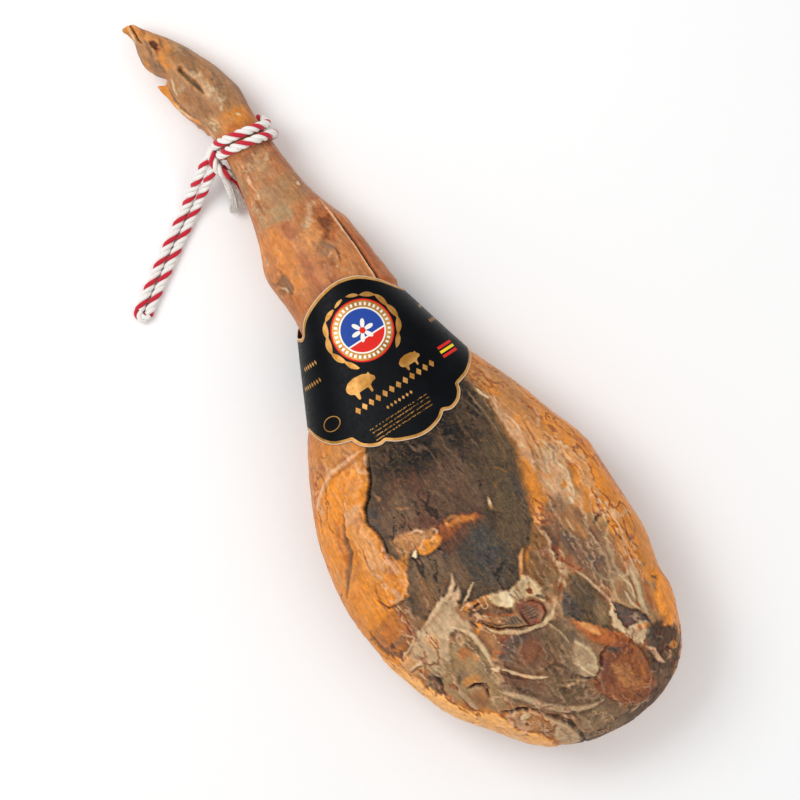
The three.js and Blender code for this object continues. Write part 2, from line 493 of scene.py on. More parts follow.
@dataclass(frozen=True)
class Mark:
    """One mark on the ham's upper side, drawn in millimetres over its plan.

    A patch fills its outline. A line has a width and thins out towards its ends.
    """

    points: tuple[Point, ...]
    tone: Tone | None = None
    share: float = 0.85
    edge: float = 5.0
    rise: float = 0.0
    width: float = 0.0
    rag: float = 1.0
    lean: float | None = None
    speck: float = 0.0

    def distance(self, plan: Array) -> Array:
        """Measures how far points of the plan are outside the mark.

        Args:
            plan: The points in millimetres, one a row.

        Returns:
            Each point's distance, less than zero in the mark.
        """
        route = np.array(self.points, float)
        if not self.width:
            return outline_distance(plan, route)
        run = run_along(route)
        near = np.full(len(plan), np.inf)
        for start, end, before, span in zip(route, route[1:], run, np.diff(run)):
            away, share = segment_distance(plan, start, end)
            place = (before + share * span) / run[-1]
            thin = 1 - np.abs(2 * place - 1) ** 3
            near = np.minimum(near, away - self.width / 2 * thin)
        return near


def patch(tone: Tone | None, share: float, edge: float, *outline: Point, **rest: float) -> Mark:
    """A filled mark."""
    return Mark(outline, tone, share, edge, **rest)


def line(tone: Tone, share: float, width: float, *route: Point, **rest: float) -> Mark:
    """A drawn mark, with a fine edge unless it is told otherwise."""
    return Mark(route, tone, share, width=width, **{"edge": 1.4, "rag": 0.3, **rest})


def spot(tone: Tone, share: float, x: float, y: float, radius: float, tall: float = 1.0,
         **rest: float) -> Mark:
    """A round mark, or an oval one.

    Args:
        tone: Its tone.
        share: How much of the tone it holds.
        x: Its middle along the leg.
        y: Its middle across the leg.
        radius: Its radius along the leg.
        tall: Its radius across the leg, as a share of the other.
        rest: What else a mark may have.

    Returns:
        The mark.
    """
    turns = np.arange(10) * math.tau / 10
    ring = tuple((x + radius * math.cos(a), y + radius * tall * math.sin(a)) for a in turns)
    return Mark(ring, tone, share, **{"edge": min(4.0, radius), **rest})


LEG_MARKS = (
    patch(Tone.FOOT, 1, 24, (-390, -40), (-390, 60), (-250, 60), (-250, -40)),
    patch(Tone.SHANK, 1, 20, (-252, -40), (-252, 60), (-60, 80), (-60, -50)),
    # the foot
    patch(Tone.FAT_BRIGHT, 0.7, 7, (-386, -8), (-386, -22), (-368, -18), (-366, -8)),
    patch(Tone.FAT, 0.45, 8, (-378, -4), (-362, 6), (-345, 14), (-330, 8), (-345, -4), (-366, -10)),
    patch(Tone.FAT, 0.7, 5, (-346, 0), (-328, 1), (-326, -5), (-345, -6)),
    line(Tone.RUSSET, 0.6, 2.6, (-378, -5), (-372, -4), (-366, -3), edge=2.4, rise=-0.6),
    # painted shade: a dark line in a shallow groove stands for the slit between the toes
    line(Tone.INK, 0.8, 2.2, (-388, -9.8), (-381, -10.6), (-374, -11.4), (-366, -12.5), (-360, -11),
        rise=-2.2, rag=0.1),
    line(Tone.BLOOM, 0.9, 2, (-378, -14), (-370, -14.6), (-362, -16), rise=0.4),
    line(Tone.BROWN, 0.5, 2.2, (-362, -16.5), (-352, -19.5), (-344, -19.5), (-334, -17)),
    spot(Tone.MAROON, 0.85, -355.5, -4, 4.2, edge=3, rise=-2.2),
    spot(Tone.RUSSET, 0.8, -350, -2, 3.4, edge=3, rise=-0.6),
    line(Tone.OLIVE, 0.6, 3, (-356, 5), (-352, 3), (-348, 3), edge=2.4),
    line(Tone.OLIVE, 0.6, 2.2, (-362, -7), (-354, -9), (-344, -9.5), edge=2.4, rise=-0.8),
    patch(Tone.SLATE, 0.42, 5, (-346, -10), (-342, -16), (-330, -15), (-323, -8), (-328, -6), (-338, -8)),
    patch(Tone.FAT, 0.7, 3, (-345, -16), (-342, -20), (-330, -18), (-328, -16)),
    line(Tone.OLIVE, 0.6, 2, (-341, -7), (-334, -8), (-326, -7.5), edge=2, rise=-0.6),
    patch(Tone.BROWN, 0.6, 8, (-340, 6), (-335, 22), (-316, 20), (-310, 12), (-322, 8)),
    patch(Tone.STRAW, 0.5, 6, (-345, 8), (-350, 12), (-338, 20), (-335, 14)),
    line(Tone.OLIVE, 0.9, 4.2, (-323.5, 3), (-318, 5.5), (-312, 7.5), (-303, 9), (-293, 11.5), edge=3,
        rise=-2.4),
    spot(Tone.INK, 0.6, -322, 3.5, 3, edge=3, rise=-1.2),
    patch(Tone.CREAM, 0.75, 4, (-318, 9), (-312, 17), (-290, 18), (-286, 12), (-303, 12), rise=0.6,
        speck=0.5),
    patch(Tone.BLOOM, 1, 4, (-293, 14), (-291, 23), (-278, 25), (-276, 18), (-284, 13), speck=0.7),
    spot(Tone.CREAM, 0.8, -274, 17, 2),
    patch(Tone.SLATE, 0.6, 4, (-302, 22), (-300, 28), (-286, 27), (-287, 22), speck=0.6),
    patch(Tone.BROWN, 0.45, 6, (-312, 26), (-300, 32), (-280, 32), (-272, 24), (-290, 24)),
    patch(Tone.OLIVE, 0.35, 5, (-284, 22), (-284, 30), (-270, 28), (-272, 20), speck=0.6),
    patch(Tone.LIVER, 0.4, 6, (-312, 4), (-290, 8), (-272, 6), (-276, -4), (-296, -6), (-318, 0),
        speck=0.4),
    patch(Tone.BLOOM, 0.6, 4, (-312, 0), (-306, 0), (-304, -8), (-310, -8), speck=0.6),
    line(Tone.CREAM, 0.7, 2, (-321, -6), (-312, -8.5), (-303, -10), rise=0.5),
    patch(Tone.FAT_BRIGHT, 0.85, 3, (-324, -21), (-321, -11), (-300, -13), (-284, -10), (-272, -5),
        (-272, -9), (-290, -15), (-306, -20)),
    line(Tone.MAROON, 0.5, 1.4, (-316, -12), (-300, -13), (-286, -10), (-276, -6), rise=-0.5),
    line(Tone.CREAM, 0.8, 1.6, (-300, -15.5), (-288, -12.6), (-276, -8.4), rise=0.4),
    line(Tone.ROSE, 0.8, 1.8, (-270, -3.2), (-262, -3), (-252, -2)),
    line(Tone.FAT, 0.8, 2.2, (-270, -5.2), (-262, -5), (-250, -4)),
    patch(Tone.CREAM, 0.8, 3, (-272, 0), (-268, 7), (-256, 6), (-252, 0), speck=0.8),
    patch(Tone.FAT, 0.75, 8, (-270, 8), (-266, 38), (-248, 40), (-246, 6), (-258, 8)),
    patch(Tone.FAT_RED, 0.5, 5, (-254, 6), (-254, 36), (-244, 38), (-244, 4)),
    patch(Tone.FAT_PALE, 0.45, 4, (-266, 14), (-264, 25), (-255, 24), (-256, 12), speck=0.5),
    line(Tone.CREAM, 0.9, 2, (-262.5, 26), (-261, 28), (-258.5, 29)),
    line(Tone.LIVER, 0.6, 4, (-336, 24), (-318, 32), (-300, 37.5), (-290, 38.5), (-270, 38.5),
        (-250, 37.5), edge=4),
    # the shank
    patch(Tone.LIVER, 0.55, 6, (-230, 2), (-230, 40), (-222, 40), (-221, 8)),
    patch(Tone.RUSSET, 0.35, 6, (-226, 34), (-226, 42), (-160, 47), (-160, 38), (-190, 35)),
    patch(Tone.CREAM, 0.6, 6, (-224, 0), (-222, 30), (-208, 30), (-206, 4), speck=0.9),
    patch(Tone.SHANK_GREY, 0.5, 8, (-222, 6), (-220, 28), (-200, 26), (-196, 8)),
    spot(Tone.ROSE, 0.9, -207, 2.6, 4.2, tall=0.5, edge=2.4, rise=0.5),
    line(Tone.ROSE, 0.7, 1.6, (-204, 2), (-198, 2), (-193, 3)),
    line(Tone.ROSE, 0.7, 1.6, (-196, 31.5), (-194, 30.5)),
    patch(Tone.CREAM, 0.75, 4, (-195, -2), (-192, 12), (-182, 13), (-182, 8), (-186, 2), (-189, -3),
        speck=0.7),
    patch(Tone.OLIVE, 0.45, 4, (-184, 2), (-188, -4), (-178, -4), (-178, 2)),
    patch(Tone.CREAM, 0.7, 3, (-192, -5), (-190, -8), (-180, -10), (-168, -9), (-168, -6), (-180, -4),
        speck=0.6),
    patch(Tone.STRAW, 0.6, 4, (-228, -8), (-228, -2), (-204, -2), (-192, -7), (-200, -9)),
    patch(Tone.SHANK_GREY, 0.75, 10, (-194, 4), (-194, 40), (-168, 42), (-164, 24), (-170, 2)),
    patch(Tone.BROWN, 0.4, 6, (-190, 14), (-186, 24), (-178, 24), (-178, 12), speck=0.5),
    patch(Tone.STRAW, 0.85, 7, (-173, 2), (-171, 21), (-161, 21), (-158, 8), (-164, 0)),
    patch(Tone.STRAW, 0.5, 6, (-180, -4), (-176, 6), (-166, 2), (-156, -8), (-166, -14)),
    patch(Tone.ROSE, 0.75, 5, (-160, 40), (-161, 32), (-152, 27), (-148, 32), (-152, 40), speck=0.3),
    patch(Tone.BLOOM, 0.95, 4, (-154, 28), (-150, 22), (-144, 17), (-141, 24), (-146, 30), speck=0.6),
    spot(Tone.CREAM, 0.9, -145.5, 25, 1.4, edge=1.4),
    patch(Tone.OLIVE, 0.4, 4, (-158, 26), (-154, 29), (-149, 24), (-153, 21), speck=0.4),
    patch(Tone.FAT_RED, 0.7, 7, (-155, 34), (-152, 47), (-132, 49), (-120, 40), (-124, 30), (-140, 30),
        rise=-1.0),
    patch(Tone.MAROON, 0.6, 6, (-143, 35), (-141, 45), (-134, 46), (-130, 40), (-124, 34), (-134, 33),
        rise=-1.4),
    patch(Tone.FAT_PALE, 0.45, 8, (-146, 28), (-142, 15), (-124, 12), (-122, 26), (-134, 30), rise=0.8),
    patch(Tone.BROWN, 0.55, 6, (-128, 30), (-127, 20), (-114, 18), (-114, 33)),
    patch(Tone.SLATE, 0.5, 4, (-123, 29), (-122, 33), (-113, 35), (-114, 29), speck=0.5),
    line(Tone.MAROON, 0.7, 1.8, (-115, 34), (-108, 34), (-100, 32), rise=-0.5),
    spot(Tone.ROSE, 0.9, -112, 27, 1.2, edge=1.2, rise=0.4),
    spot(Tone.ROSE, 0.8, -98, 28, 1.4, edge=1.2, rise=0.4),
    patch(Tone.RUSSET, 0.55, 5, (-160, 8), (-158, 13), (-143, 12), (-141, 6), (-150, 5)),
    patch(Tone.RUSSET, 0.55, 6, (-128, 2), (-120, 6), (-86, 8), (-86, -2), (-108, -2)),
    patch(Tone.RUSSET, 0.35, 8, (-112, 14), (-110, 28), (-86, 24), (-86, 12)),
    patch(Tone.FAT_BRIGHT, 0.42, 12, (-162, -6), (-150, 4), (-120, 0), (-104, -4), (-100, -14),
        (-120, -18), (-150, -16), rise=0.8),
    patch(Tone.BROWN, 0.75, 6, (-122, -18), (-118, -29), (-104, -28), (-100, -20), (-110, -16),
        rise=-2.0),
    patch(Tone.FAT_RED, 0.5, 6, (-100, -18), (-100, -28), (-80, -27), (-80, -14)),
    line(Tone.BLOOM, 0.8, 2, (-111, -27), (-107, -24), (-103, -22.5), rise=0.5),
    line(Tone.CREAM, 0.85, 3, (-141, -22), (-137, -23.5), (-132, -25), edge=2, speck=0.4),
    line(Tone.FAT_BRIGHT, 0.6, 3, (-160, -17), (-150, -20), (-138, -25), (-128, -30), edge=3),
    spot(Tone.CREAM, 1, -177.5, 38.8, 2.0, tall=0.7, edge=1.2, rise=0.7),
    patch(Tone.FAT_RED, 0.85, 5, (-142, 52), (-134, 57), (-100, 61), (-56, 66), (-56, 53), (-100, 53),
        rise=0.8),
    patch(Tone.RUSSET, 0.4, 4, (-136, 53), (-100, 57), (-56, 62), (-56, 54), (-100, 53)),
    line(Tone.FAT_PALE, 0.4, 2.6, (-140, 55), (-124, 56), (-108, 57), edge=3),
    line(Tone.INK, 0.9, 2.6, (-140, 50), (-128, 51.2), (-110, 52), (-88, 52), (-58, 53), edge=1.8,
        rise=-3.6, rag=0.15),
    line(Tone.ROSE, 0.9, 1.8, (-158, 46.4), (-140, 48.4), (-124, 48.8), (-110, 50.2), (-86, 50),
        (-64, 50), edge=1.3, rise=0.9, rag=0.15),
)

LEAN_MARKS = (
    # the whole upper side is fat, with a tan belt and a darker belt along the tendon side
    patch(Tone.TAN, 0.85, 9, (40, 86), (60, 101), (110, 105), (150, 104), (200, 102), (280, 105),
        (272, 74), (200, 70), (100, 72), (48, 68)),
    patch(Tone.FAT, 0.7, 6, (58, 76), (60, 89), (76, 88), (80, 78)),
    patch(Tone.FAT, 0.5, 6, (98, 80), (100, 90), (114, 92), (116, 80)),
    patch(Tone.FAT_BRIGHT, 0.8, 8, (160, 106), (168, 127), (192, 126), (200, 112), (190, 106)),
    patch(Tone.FAT, 0.7, 8, (220, 104), (224, 128), (262, 122), (272, 108)),
    patch(Tone.BROWN, 0.45, 8, (130, 74), (134, 94), (146, 90), (150, 78)),
    patch(Tone.ROSE, 0.6, 6, (146, 99), (186, 98), (193, 89), (186, 82), (176, 76), (160, 75), (150, 80),
        (142, 92)),
    patch(Tone.BROWN, 0.8, 14, (178, 66), (204, 92), (240, 95), (300, 100), (345, 96), (372, 76),
        (386, 30), (382, -24), (350, -50), (310, -68), (275, -98), (240, -117), (214, -110), (204, -90),
        (186, -86), (203, -60), (219, -40), (226, 0), (205, 35)),
    # the round of the thigh
    patch(Tone.LEAN, 1, 9, (40, 69), (70, 71), (90, 73), (120, 72.5), (137, 67), (150, 63), (170, 57),
        (190, 48), (204, 38), (202, 29), (213, 18), (226, 8), (226, -6), (218, -22), (214, -44),
        (203, -58), (208, -76), (196, -84), (182, -88), (170, -74), (158, -68), (140, -73.5), (120, -72),
        (107, -74.5), (96, -70), (82, -56), (60, -44), (40, -32), rise=1.6, rag=0.7, lean=1),
    patch(Tone.LEAN, 1, 3, (40, 52), (100, 60), (150, 50), (190, 36), (213, 18), (226, 8), (226, -6),
        (218, -22), (214, -44), (203, -58), (208, -76), (196, -84), (182, -88), (170, -74), (158, -68),
        (140, -73.5), (120, -72), (107, -74.5), (96, -70), (82, -56), (60, -44), (40, -32), rag=0.6,
        lean=1),
    line(Tone.OCHRE, 0.55, 5, (44, 69), (70, 71.5), (90, 73), (118, 72), (137, 67), (150, 62), (170, 56),
        (190, 48), (202, 38), edge=7),
    patch(Tone.LEAN_DARK, 1, 34, (40, 68), (84, 70), (104, 20), (98, -20), (80, -48), (40, -34)),
    patch(Tone.LEAN_DARK, 0.35, 14, (90, 62), (94, 34), (134, 30), (170, 50), (130, 66)),
    patch(Tone.INK, 0.35, 16, (56, 50), (74, 54), (84, 30), (82, -10), (66, -24), (56, -20)),
    patch(Tone.LIVER, 0.4, 16, (84, -34), (100, -10), (128, -14), (142, -34), (128, -66), (104, -62)),
    patch(Tone.OLIVE, 0.5, 12, (100, 66), (130, 62), (150, 52), (140, 40), (104, 46)),
    line(Tone.OCHRE, 0.4, 3, (84, 66), (100, 63), (118, 62), (136, 58), edge=4),
    line(Tone.BROWN, 0.35, 2.4, (66, 44), (84, 42), (104, 44), edge=3),
    line(Tone.BROWN, 0.3, 3, (90, 10), (110, 6), (128, 6), edge=4),
    line(Tone.RUSSET, 0.3, 3, (84, -14), (100, -20), (118, -20), edge=4),
    patch(Tone.LEAN_RED, 0.55, 20, (96, 24), (100, -50), (140, -54), (158, -10), (146, 24)),
    patch(Tone.BROWN, 0.6, 12, (100, -30), (108, -62), (150, -66), (140, -36)),
    patch(Tone.OLIVE, 0.6, 10, (140, 52), (150, 26), (200, 24), (204, 36), (186, 46)),
    patch(Tone.LEAN_COOL, 0.95, 9, (164, 14), (164, -20), (200, -24), (220, -8), (222, 6), (190, 20)),
    patch(Tone.INK, 0.35, 6, (154, 18), (158, 24), (176, 20), (170, 10)),
    patch(Tone.SLATE, 0.6, 7, (166, 8), (168, -6), (186, -10), (204, -4), (200, 8), (182, 10)),
    patch(Tone.SLATE, 0.4, 8, (136, 50), (142, 60), (164, 57), (158, 46)),
    line(Tone.SLATE, 0.6, 5, (160, -38), (166, -34), (176, -32), edge=4),
    patch(Tone.BROWN, 0.5, 8, (166, -24), (180, -36), (200, -40), (203, -26)),
    patch(Tone.BROWN, 0.85, 9, (160, -36), (184, -36), (200, -46), (206, -66), (200, -82), (172, -76),
        (158, -60)),
    patch(Tone.OLIVE, 0.4, 8, (166, -44), (182, -42), (190, -56), (180, -66), (168, -60)),
    patch(Tone.TAN, 0.35, 9, (172, -62), (186, -56), (204, -60), (204, -76), (184, -74)),
    patch(Tone.LEAN_DARK, 0.4, 5, (176, -70), (204, -70), (206, -78), (184, -82)),
    patch(Tone.SLATE, 0.7, 4, (97, -58), (108, -60), (107, -72), (100, -69)),
    patch(Tone.SLATE, 0.5, 4, (110, -66), (124, -64), (128, -71), (110, -72)),
    patch(Tone.OLIVE, 0.6, 4, (62, 64), (100, 66), (136, 64), (130, 71), (90, 72.5), (64, 70)),
    line(Tone.STRAW, 0.35, 1.6, (52, 62), (70, 64), (90, 66), (112, 66)),
    line(Tone.STRAW, 0.3, 1.4, (62, 56), (72, 60), (84, 62)),
    line(Tone.OCHRE, 0.75, 2.4, (126, 45), (130, 50), (137, 53.5)),
    line(Tone.OCHRE, 0.8, 2.4, (138, 39), (144, 38)),
    line(Tone.CREAM, 0.9, 2.2, (147, 27.5), (152, 26), (157, 24), rise=0.6),
    spot(Tone.OCHRE, 0.7, 155, 24.5, 3),
    patch(Tone.LIVER, 0.65, 12, (150, 16), (157, 14), (160, 0), (166, -14), (174, -28), (160, -40),
        (140, -34), (126, -50), (120, -44), (136, -20), (144, 2)),
    patch(Tone.FAT_RED, 0.7, 6, (150, 13), (156, 13), (157, 3), (153, -8), (157, -18), (156, -27),
        (146, -26), (142, -12), (146, 2), rise=0.7),
    patch(Tone.FAT, 0.6, 4, (151, 10), (155, 8), (153, -2), (149, -12), (151, -20), (145, -18),
        (146, -4)),
    line(Tone.FAT, 0.6, 2.4, (147, -2), (142, -10), (143, -18), edge=3),
    patch(Tone.FAT_PALE, 0.65, 6, (143, -27), (149, -30), (149, -44), (153, -64), (134, -62), (130, -52),
        (138, -40)),
    patch(Tone.TAN, 0.55, 6, (130, -48), (134, -66), (150, -68), (148, -56)),
    patch(Tone.FAT, 0.95, 2.6, (148, -27), (154, -26), (160, -34), (160, -46), (156, -51), (150, -50),
        (147, -42), (149, -36), rise=1.2, rag=0.5),
    line(Tone.CREAM, 0.8, 2.2, (144, -28), (147, -26.5), (149, -28), rise=0.5),
    line(Tone.ROSE, 0.7, 2.6, (142, -36), (137, -42), (134, -50)),
    line(Tone.BONE_WHITE, 1, 3, (150.5, -51), (153, -54), (157, -56), edge=1.2, rise=1.4),
    line(Tone.BONE_WHITE, 0.9, 1.8, (154, -55), (154, -58.5), edge=1.2, rise=1),
    line(Tone.TAN, 0.6, 2.2, (117, -36), (114, -41), (109, -47)),
    spot(Tone.TAN, 0.6, 93, -54, 2.2),
    patch(Tone.FAT, 0.7, 5, (150, -62), (158, -66), (172, -76), (182, -84), (166, -84), (150, -76)),
    # the fold of fat under it
    patch(None, 0.85, 9, (60, -50), (84, -62), (100, -77), (126, -75), (150, -79), (168, -84), (183, -92),
        (180, -101), (160, -106), (140, -101), (115, -96), (95, -91), (80, -82), (62, -68), rise=3.4),
    patch(Tone.FAT_BRIGHT, 0.75, 9, (56, -62), (58, -90), (80, -108), (110, -116), (100, -94), (84, -84)),
    patch(Tone.FAT_PALE, 0.7, 6, (102, -78), (112, -76), (150, -82), (156, -96), (120, -94), (104, -88)),
    patch(Tone.FAT_BRIGHT, 0.8, 7, (140, -102), (150, -124), (178, -127), (182, -110), (164, -104)),
    patch(Tone.ROSE, 0.5, 5, (90, -70), (88, -88), (100, -92), (103, -80)),
    patch(Tone.FAT_RED, 0.65, 6, (86, -90), (96, -96), (114, -100), (128, -104), (128, -112), (104, -106),
        (90, -98)),
    patch(Tone.FAT_BRIGHT, 0.6, 7, (160, -72), (166, -71), (180, -80), (182.5, -88), (179, -99),
        (170, -98), (156, -84), rise=0.8),
    patch(Tone.FAT_RED, 0.5, 4, (124, -76), (145, -75), (162, -80), (160, -84), (140, -80)),
    line(Tone.BROWN, 0.7, 4, (89, -89), (97, -93.5), (110, -99.5), (122, -103), (130, -110), (140, -118),
        (153, -127), edge=4, rise=-2.4),
    line(Tone.OLIVE, 0.5, 3, (106, -99), (118, -101), (126, -106), edge=3),
    line(Tone.INK, 0.85, 2.6, (48, -38), (60, -44), (75, -51), (88, -61), (95, -69), (103, -73.5),
        (112, -75), edge=2, rise=-4.2, rag=0.3),
    line(Tone.MAROON, 0.7, 2.2, (108, -74.5), (120, -72), (134, -72.5), (150, -76), edge=2.4, rise=-2.2,
        rag=0.3),
    line(Tone.INK, 0.6, 2.2, (176, -80), (182, -84), (183.5, -92), (180, -101), (170, -106), edge=2,
        rise=-1.8, rag=0.3),
    line(Tone.FAT_PALE, 0.7, 2.6, (150, -73), (164, -72), (174, -77), (181, -86), (179, -97), edge=2.4,
        rise=0.8, rag=0.4),
    line(Tone.ROSE, 0.6, 2, (108, -83), (126, -81), (144, -85), (158, -88), edge=2.4, rise=0.5),
    line(Tone.RUSSET, 0.5, 1.8, (120, -90), (136, -93), (152, -94), rise=-0.6),
    line(Tone.RUSSET, 0.5, 2, (158, -98), (172, -104), (184, -104), rise=-0.6),
    line(Tone.FAT_RED, 0.6, 3, (96, -80), (106, -82), (112, -88), edge=3),
    # pale folds next to the collar
    patch(Tone.TAN, 0.6, 6, (34, -48), (50, -50), (52, -92), (38, -92)),
    line(Tone.ROSE, 0.65, 4, (50, -44), (50.5, -62), (53, -78), (58, -88), (66, -98), (74, -106), edge=3,
        rise=1.4),
    line(Tone.ROSE, 0.6, 3, (54, -40), (57, -45), (66, -48)),
    line(Tone.SLATE, 0.25, 1.6, (54, -48), (55, -64), (57, -78), edge=3, rise=-0.8),
    patch(Tone.FAT_RED, 0.35, 5, (36, -88), (60, -96), (84, -112), (60, -108)),
    # pale scraps and lines over the tan belt
    patch(Tone.ROSE, 0.5, 6, (64, 74), (84, 82), (120, 84), (142, 80), (150, 72), (120, 76), (84, 75)),
    patch(Tone.FAT_PALE, 0.5, 7, (104, 88), (118, 98), (140, 97), (142, 86), (122, 82)),
    line(Tone.TAN, 0.6, 3, (70, 92), (90, 96), (112, 97), edge=4, rise=0.5),
    line(Tone.RUSSET, 0.6, 1.8, (106, 90), (120, 91), (134, 90), (146, 86), rise=-0.6),
    line(Tone.RUSSET, 0.5, 1.6, (114, 85), (130, 84), (142, 79), rise=-0.5),
    line(Tone.CREAM, 0.6, 1.6, (96, 82), (106, 84), (116, 83), rise=0.4),
    line(Tone.CREAM, 0.7, 2.4, (150, 97), (164, 99), (180, 96), (190, 90), rise=0.7),
    line(Tone.CREAM, 0.6, 2, (160, 78), (172, 80), (184, 82), rise=0.4),
    line(Tone.RUSSET, 0.55, 2, (168, 73), (182, 75), (196, 74), rise=-0.4),
    line(Tone.RUSSET, 0.6, 2, (196, 90), (210, 88), (226, 89), (240, 87), rise=-0.5),
    line(Tone.RUSSET, 0.6, 1.8, (200, 72), (216, 71), (232, 72), (246, 70), rise=-0.5),
    line(Tone.SLATE, 0.4, 3, (214, 93), (228, 95), (244, 93), (256, 90), edge=3),
    line(Tone.RUSSET, 0.7, 2.4, (226, 106), (242, 107), (258, 106), (272, 104), rise=-0.6),
    line(Tone.FAT_PALE, 0.6, 1.8, (232, 100), (246, 101), (262, 100)),
    line(Tone.CREAM, 0.85, 2.4, (58, 71), (66, 72.5), (73, 75.5), rise=0.8),
    line(Tone.FASCIA, 0.6, 1.8, (80, 74.5), (90, 75), (98, 74)),
    line(Tone.ROSE, 0.7, 1.8, (101, 105), (110, 104), (117, 101)),
    line(Tone.FAT_RED, 0.6, 2.4, (88, 100), (102, 102.5), (112, 101.5)),
    spot(Tone.CREAM, 0.6, 123, 79, 2.6),
    line(Tone.CREAM, 0.7, 3.2, (130, 95), (138, 98), (146, 96), (153, 92), rise=0.5),
    line(Tone.CREAM, 0.75, 2, (140, 92), (150, 88), (160, 85), (168, 85)),
    line(Tone.ROSE, 0.6, 3.4, (143, 85), (152, 82), edge=3),
    spot(Tone.CREAM, 0.6, 171.5, 90, 5.4, edge=3),
    spot(Tone.FAT, 0.9, 172, 90.5, 3, edge=2),
    spot(Tone.FAT, 0.6, 158, 83, 3),
    line(Tone.RUSSET, 0.7, 2.2, (148, 103), (156, 104.5), (165, 106), rise=-0.6),
    line(Tone.RUSSET, 0.5, 2, (146, 98), (150, 93)),
    patch(Tone.CREAM, 0.8, 2.4, (183, 90), (190, 84), (192, 88), (189, 92)),
    patch(Tone.FAT, 0.6, 5, (190, 92), (192, 103), (208, 104), (206, 92)),
    patch(Tone.STRAW, 0.6, 4, (206, 94), (209, 104), (220, 110), (226, 104), (222, 96), (214, 92)),
    line(Tone.CHARCOAL, 0.7, 3.4, (212, 104), (215, 98), (217, 94), rise=-1),
    line(Tone.CHARCOAL, 0.6, 2.6, (222, 108), (226, 102), rise=-0.8),
    line(Tone.ROSE, 0.7, 2.2, (210, 119), (216, 116), (220, 111), (214, 105), (204, 103)),
    line(Tone.CREAM, 0.6, 2, (222, 126), (228, 127)),
    spot(Tone.RUSSET, 0.7, 246, 117, 3),
    line(Tone.BROWN, 0.6, 2.4, (230, 113.5), (244, 114), (258, 115.5), rise=-0.8),
    patch(Tone.BROWN, 0.55, 6, (222, 90), (222, 102), (240, 104), (248, 92)),
    line(Tone.FAT_RED, 0.6, 5, (258, 104), (264, 96), (270, 92), edge=4),
    spot(Tone.SLATE, 0.5, 271, 110, 2.6),
    # the darker belt between the round and the tan belt
    patch(Tone.BROWN, 0.75, 9, (178, 84), (200, 88), (224, 90), (250, 88), (264, 84), (270, 76),
        (262, 66), (240, 60), (206, 58), (192, 62), (176, 72), rise=-0.6, lean=0.4),
    patch(Tone.TAN, 0.5, 8, (190, 70), (196, 84), (222, 86), (226, 76), (206, 70)),
    patch(Tone.SLATE, 0.55, 5, (206, 62), (208, 70), (224, 72), (234, 66), (224, 60)),
    patch(Tone.SLATE, 0.5, 5, (240, 70), (238, 80), (250, 84), (256, 74)),
    patch(Tone.LIVER, 0.35, 5, (224, 62), (226, 76), (240, 74), (240, 60)),
    line(Tone.CREAM, 0.6, 1.8, (198, 76), (206, 76.5), (213, 75.5)),
    line(Tone.TAN, 0.5, 4, (208, 83), (216, 81.5), (226, 80), edge=3),
    line(Tone.FAT_RED, 0.5, 4, (176, 60), (188, 65), (200, 67), edge=4),
    patch(Tone.FAT, 0.5, 4, (164, 60), (166, 67), (184, 62), (182, 52), (176, 52)),
    patch(Tone.CHARCOAL, 0.7, 4, (192, 58), (212, 60), (224, 54), (222, 49), (196, 50)),
    patch(Tone.FAT_PALE, 0.85, 2.4, (184, 60), (190.5, 60), (190, 51), (182, 51), rise=0.6),
    line(Tone.FASCIA, 0.65, 2, (190, 50), (204, 50.5), (222, 49.5), (236, 47), (243, 41), rise=0.6),
    patch(Tone.FASCIA, 0.7, 3, (228, 50), (232, 54), (242, 54), (243, 49), (236, 47)),
    patch(Tone.RUSSET, 0.5, 4, (226, 55), (228, 60), (242, 60), (240, 54)),
    line(Tone.FASCIA, 0.6, 1.4, (219, 55), (224, 56.5), (230, 55)),
    spot(Tone.INK, 0.95, 225.8, 52.3, 2.0, edge=1.4, rise=-2.6),
    # the olive muscle and the pale sickles above it
    patch(Tone.OLIVE, 0.9, 6, (242, 52), (255, 60), (270, 65), (286, 66), (300, 60), (306, 56), (294, 45),
        (283, 37), (274, 28), (264, 30), (254, 38), (247, 45), rise=1, lean=0.8),
    patch(Tone.SLATE, 0.85, 7, (252, 38), (262, 44), (280, 44), (278, 34), (268, 28)),
    patch(Tone.SLATE, 0.45, 6, (248, 52), (262, 58), (282, 57), (276, 48), (254, 47)),
    patch(Tone.STRAW, 0.4, 7, (276, 60), (284, 65), (300, 60), (296, 50), (284, 52)),
    line(Tone.OLIVE, 0.6, 2, (248, 47), (258, 50), (276, 51), (290, 50)),
    line(Tone.OCHRE, 0.8, 3, (252, 46), (260, 43)),
    line(Tone.FASCIA, 0.8, 2.6, (243, 57), (256, 62), (270, 65.5), (282, 69), (292, 69), rise=0.8),
    line(Tone.RUSSET, 0.5, 1.6, (240, 59), (250, 64)),
    patch(Tone.STRAW, 0.75, 5, (268, 100), (286, 104), (300, 98), (316, 92), (318, 89), (304, 86),
        (294, 79), (284, 72), (268, 76)),
    patch(Tone.FASCIA, 0.6, 5, (264, 104), (280, 103), (282, 94), (270, 92)),
    patch(Tone.BROWN, 0.6, 5, (276, 80), (282, 90), (292, 86), (290, 78)),
    line(Tone.CREAM, 0.7, 4, (270, 98), (284, 97), (298, 92), (312, 90), edge=3, rise=0.7),
    line(Tone.CREAM, 0.6, 2.4, (272, 88), (282, 92), (296, 88), rise=0.5),
    line(Tone.RUSSET, 0.7, 1.6, (268, 94), (280, 94), (294, 89), (304, 88), rise=-0.6),
    line(Tone.CREAM, 0.7, 2.6, (282, 84), (294, 84), (304, 87), rise=0.6),
    line(Tone.RUSSET, 0.5, 2.4, (266, 82), (274, 84), (282, 80)),
    line(Tone.FASCIA, 0.7, 2, (262, 73), (266, 70), (270, 70.5), rise=0.5),
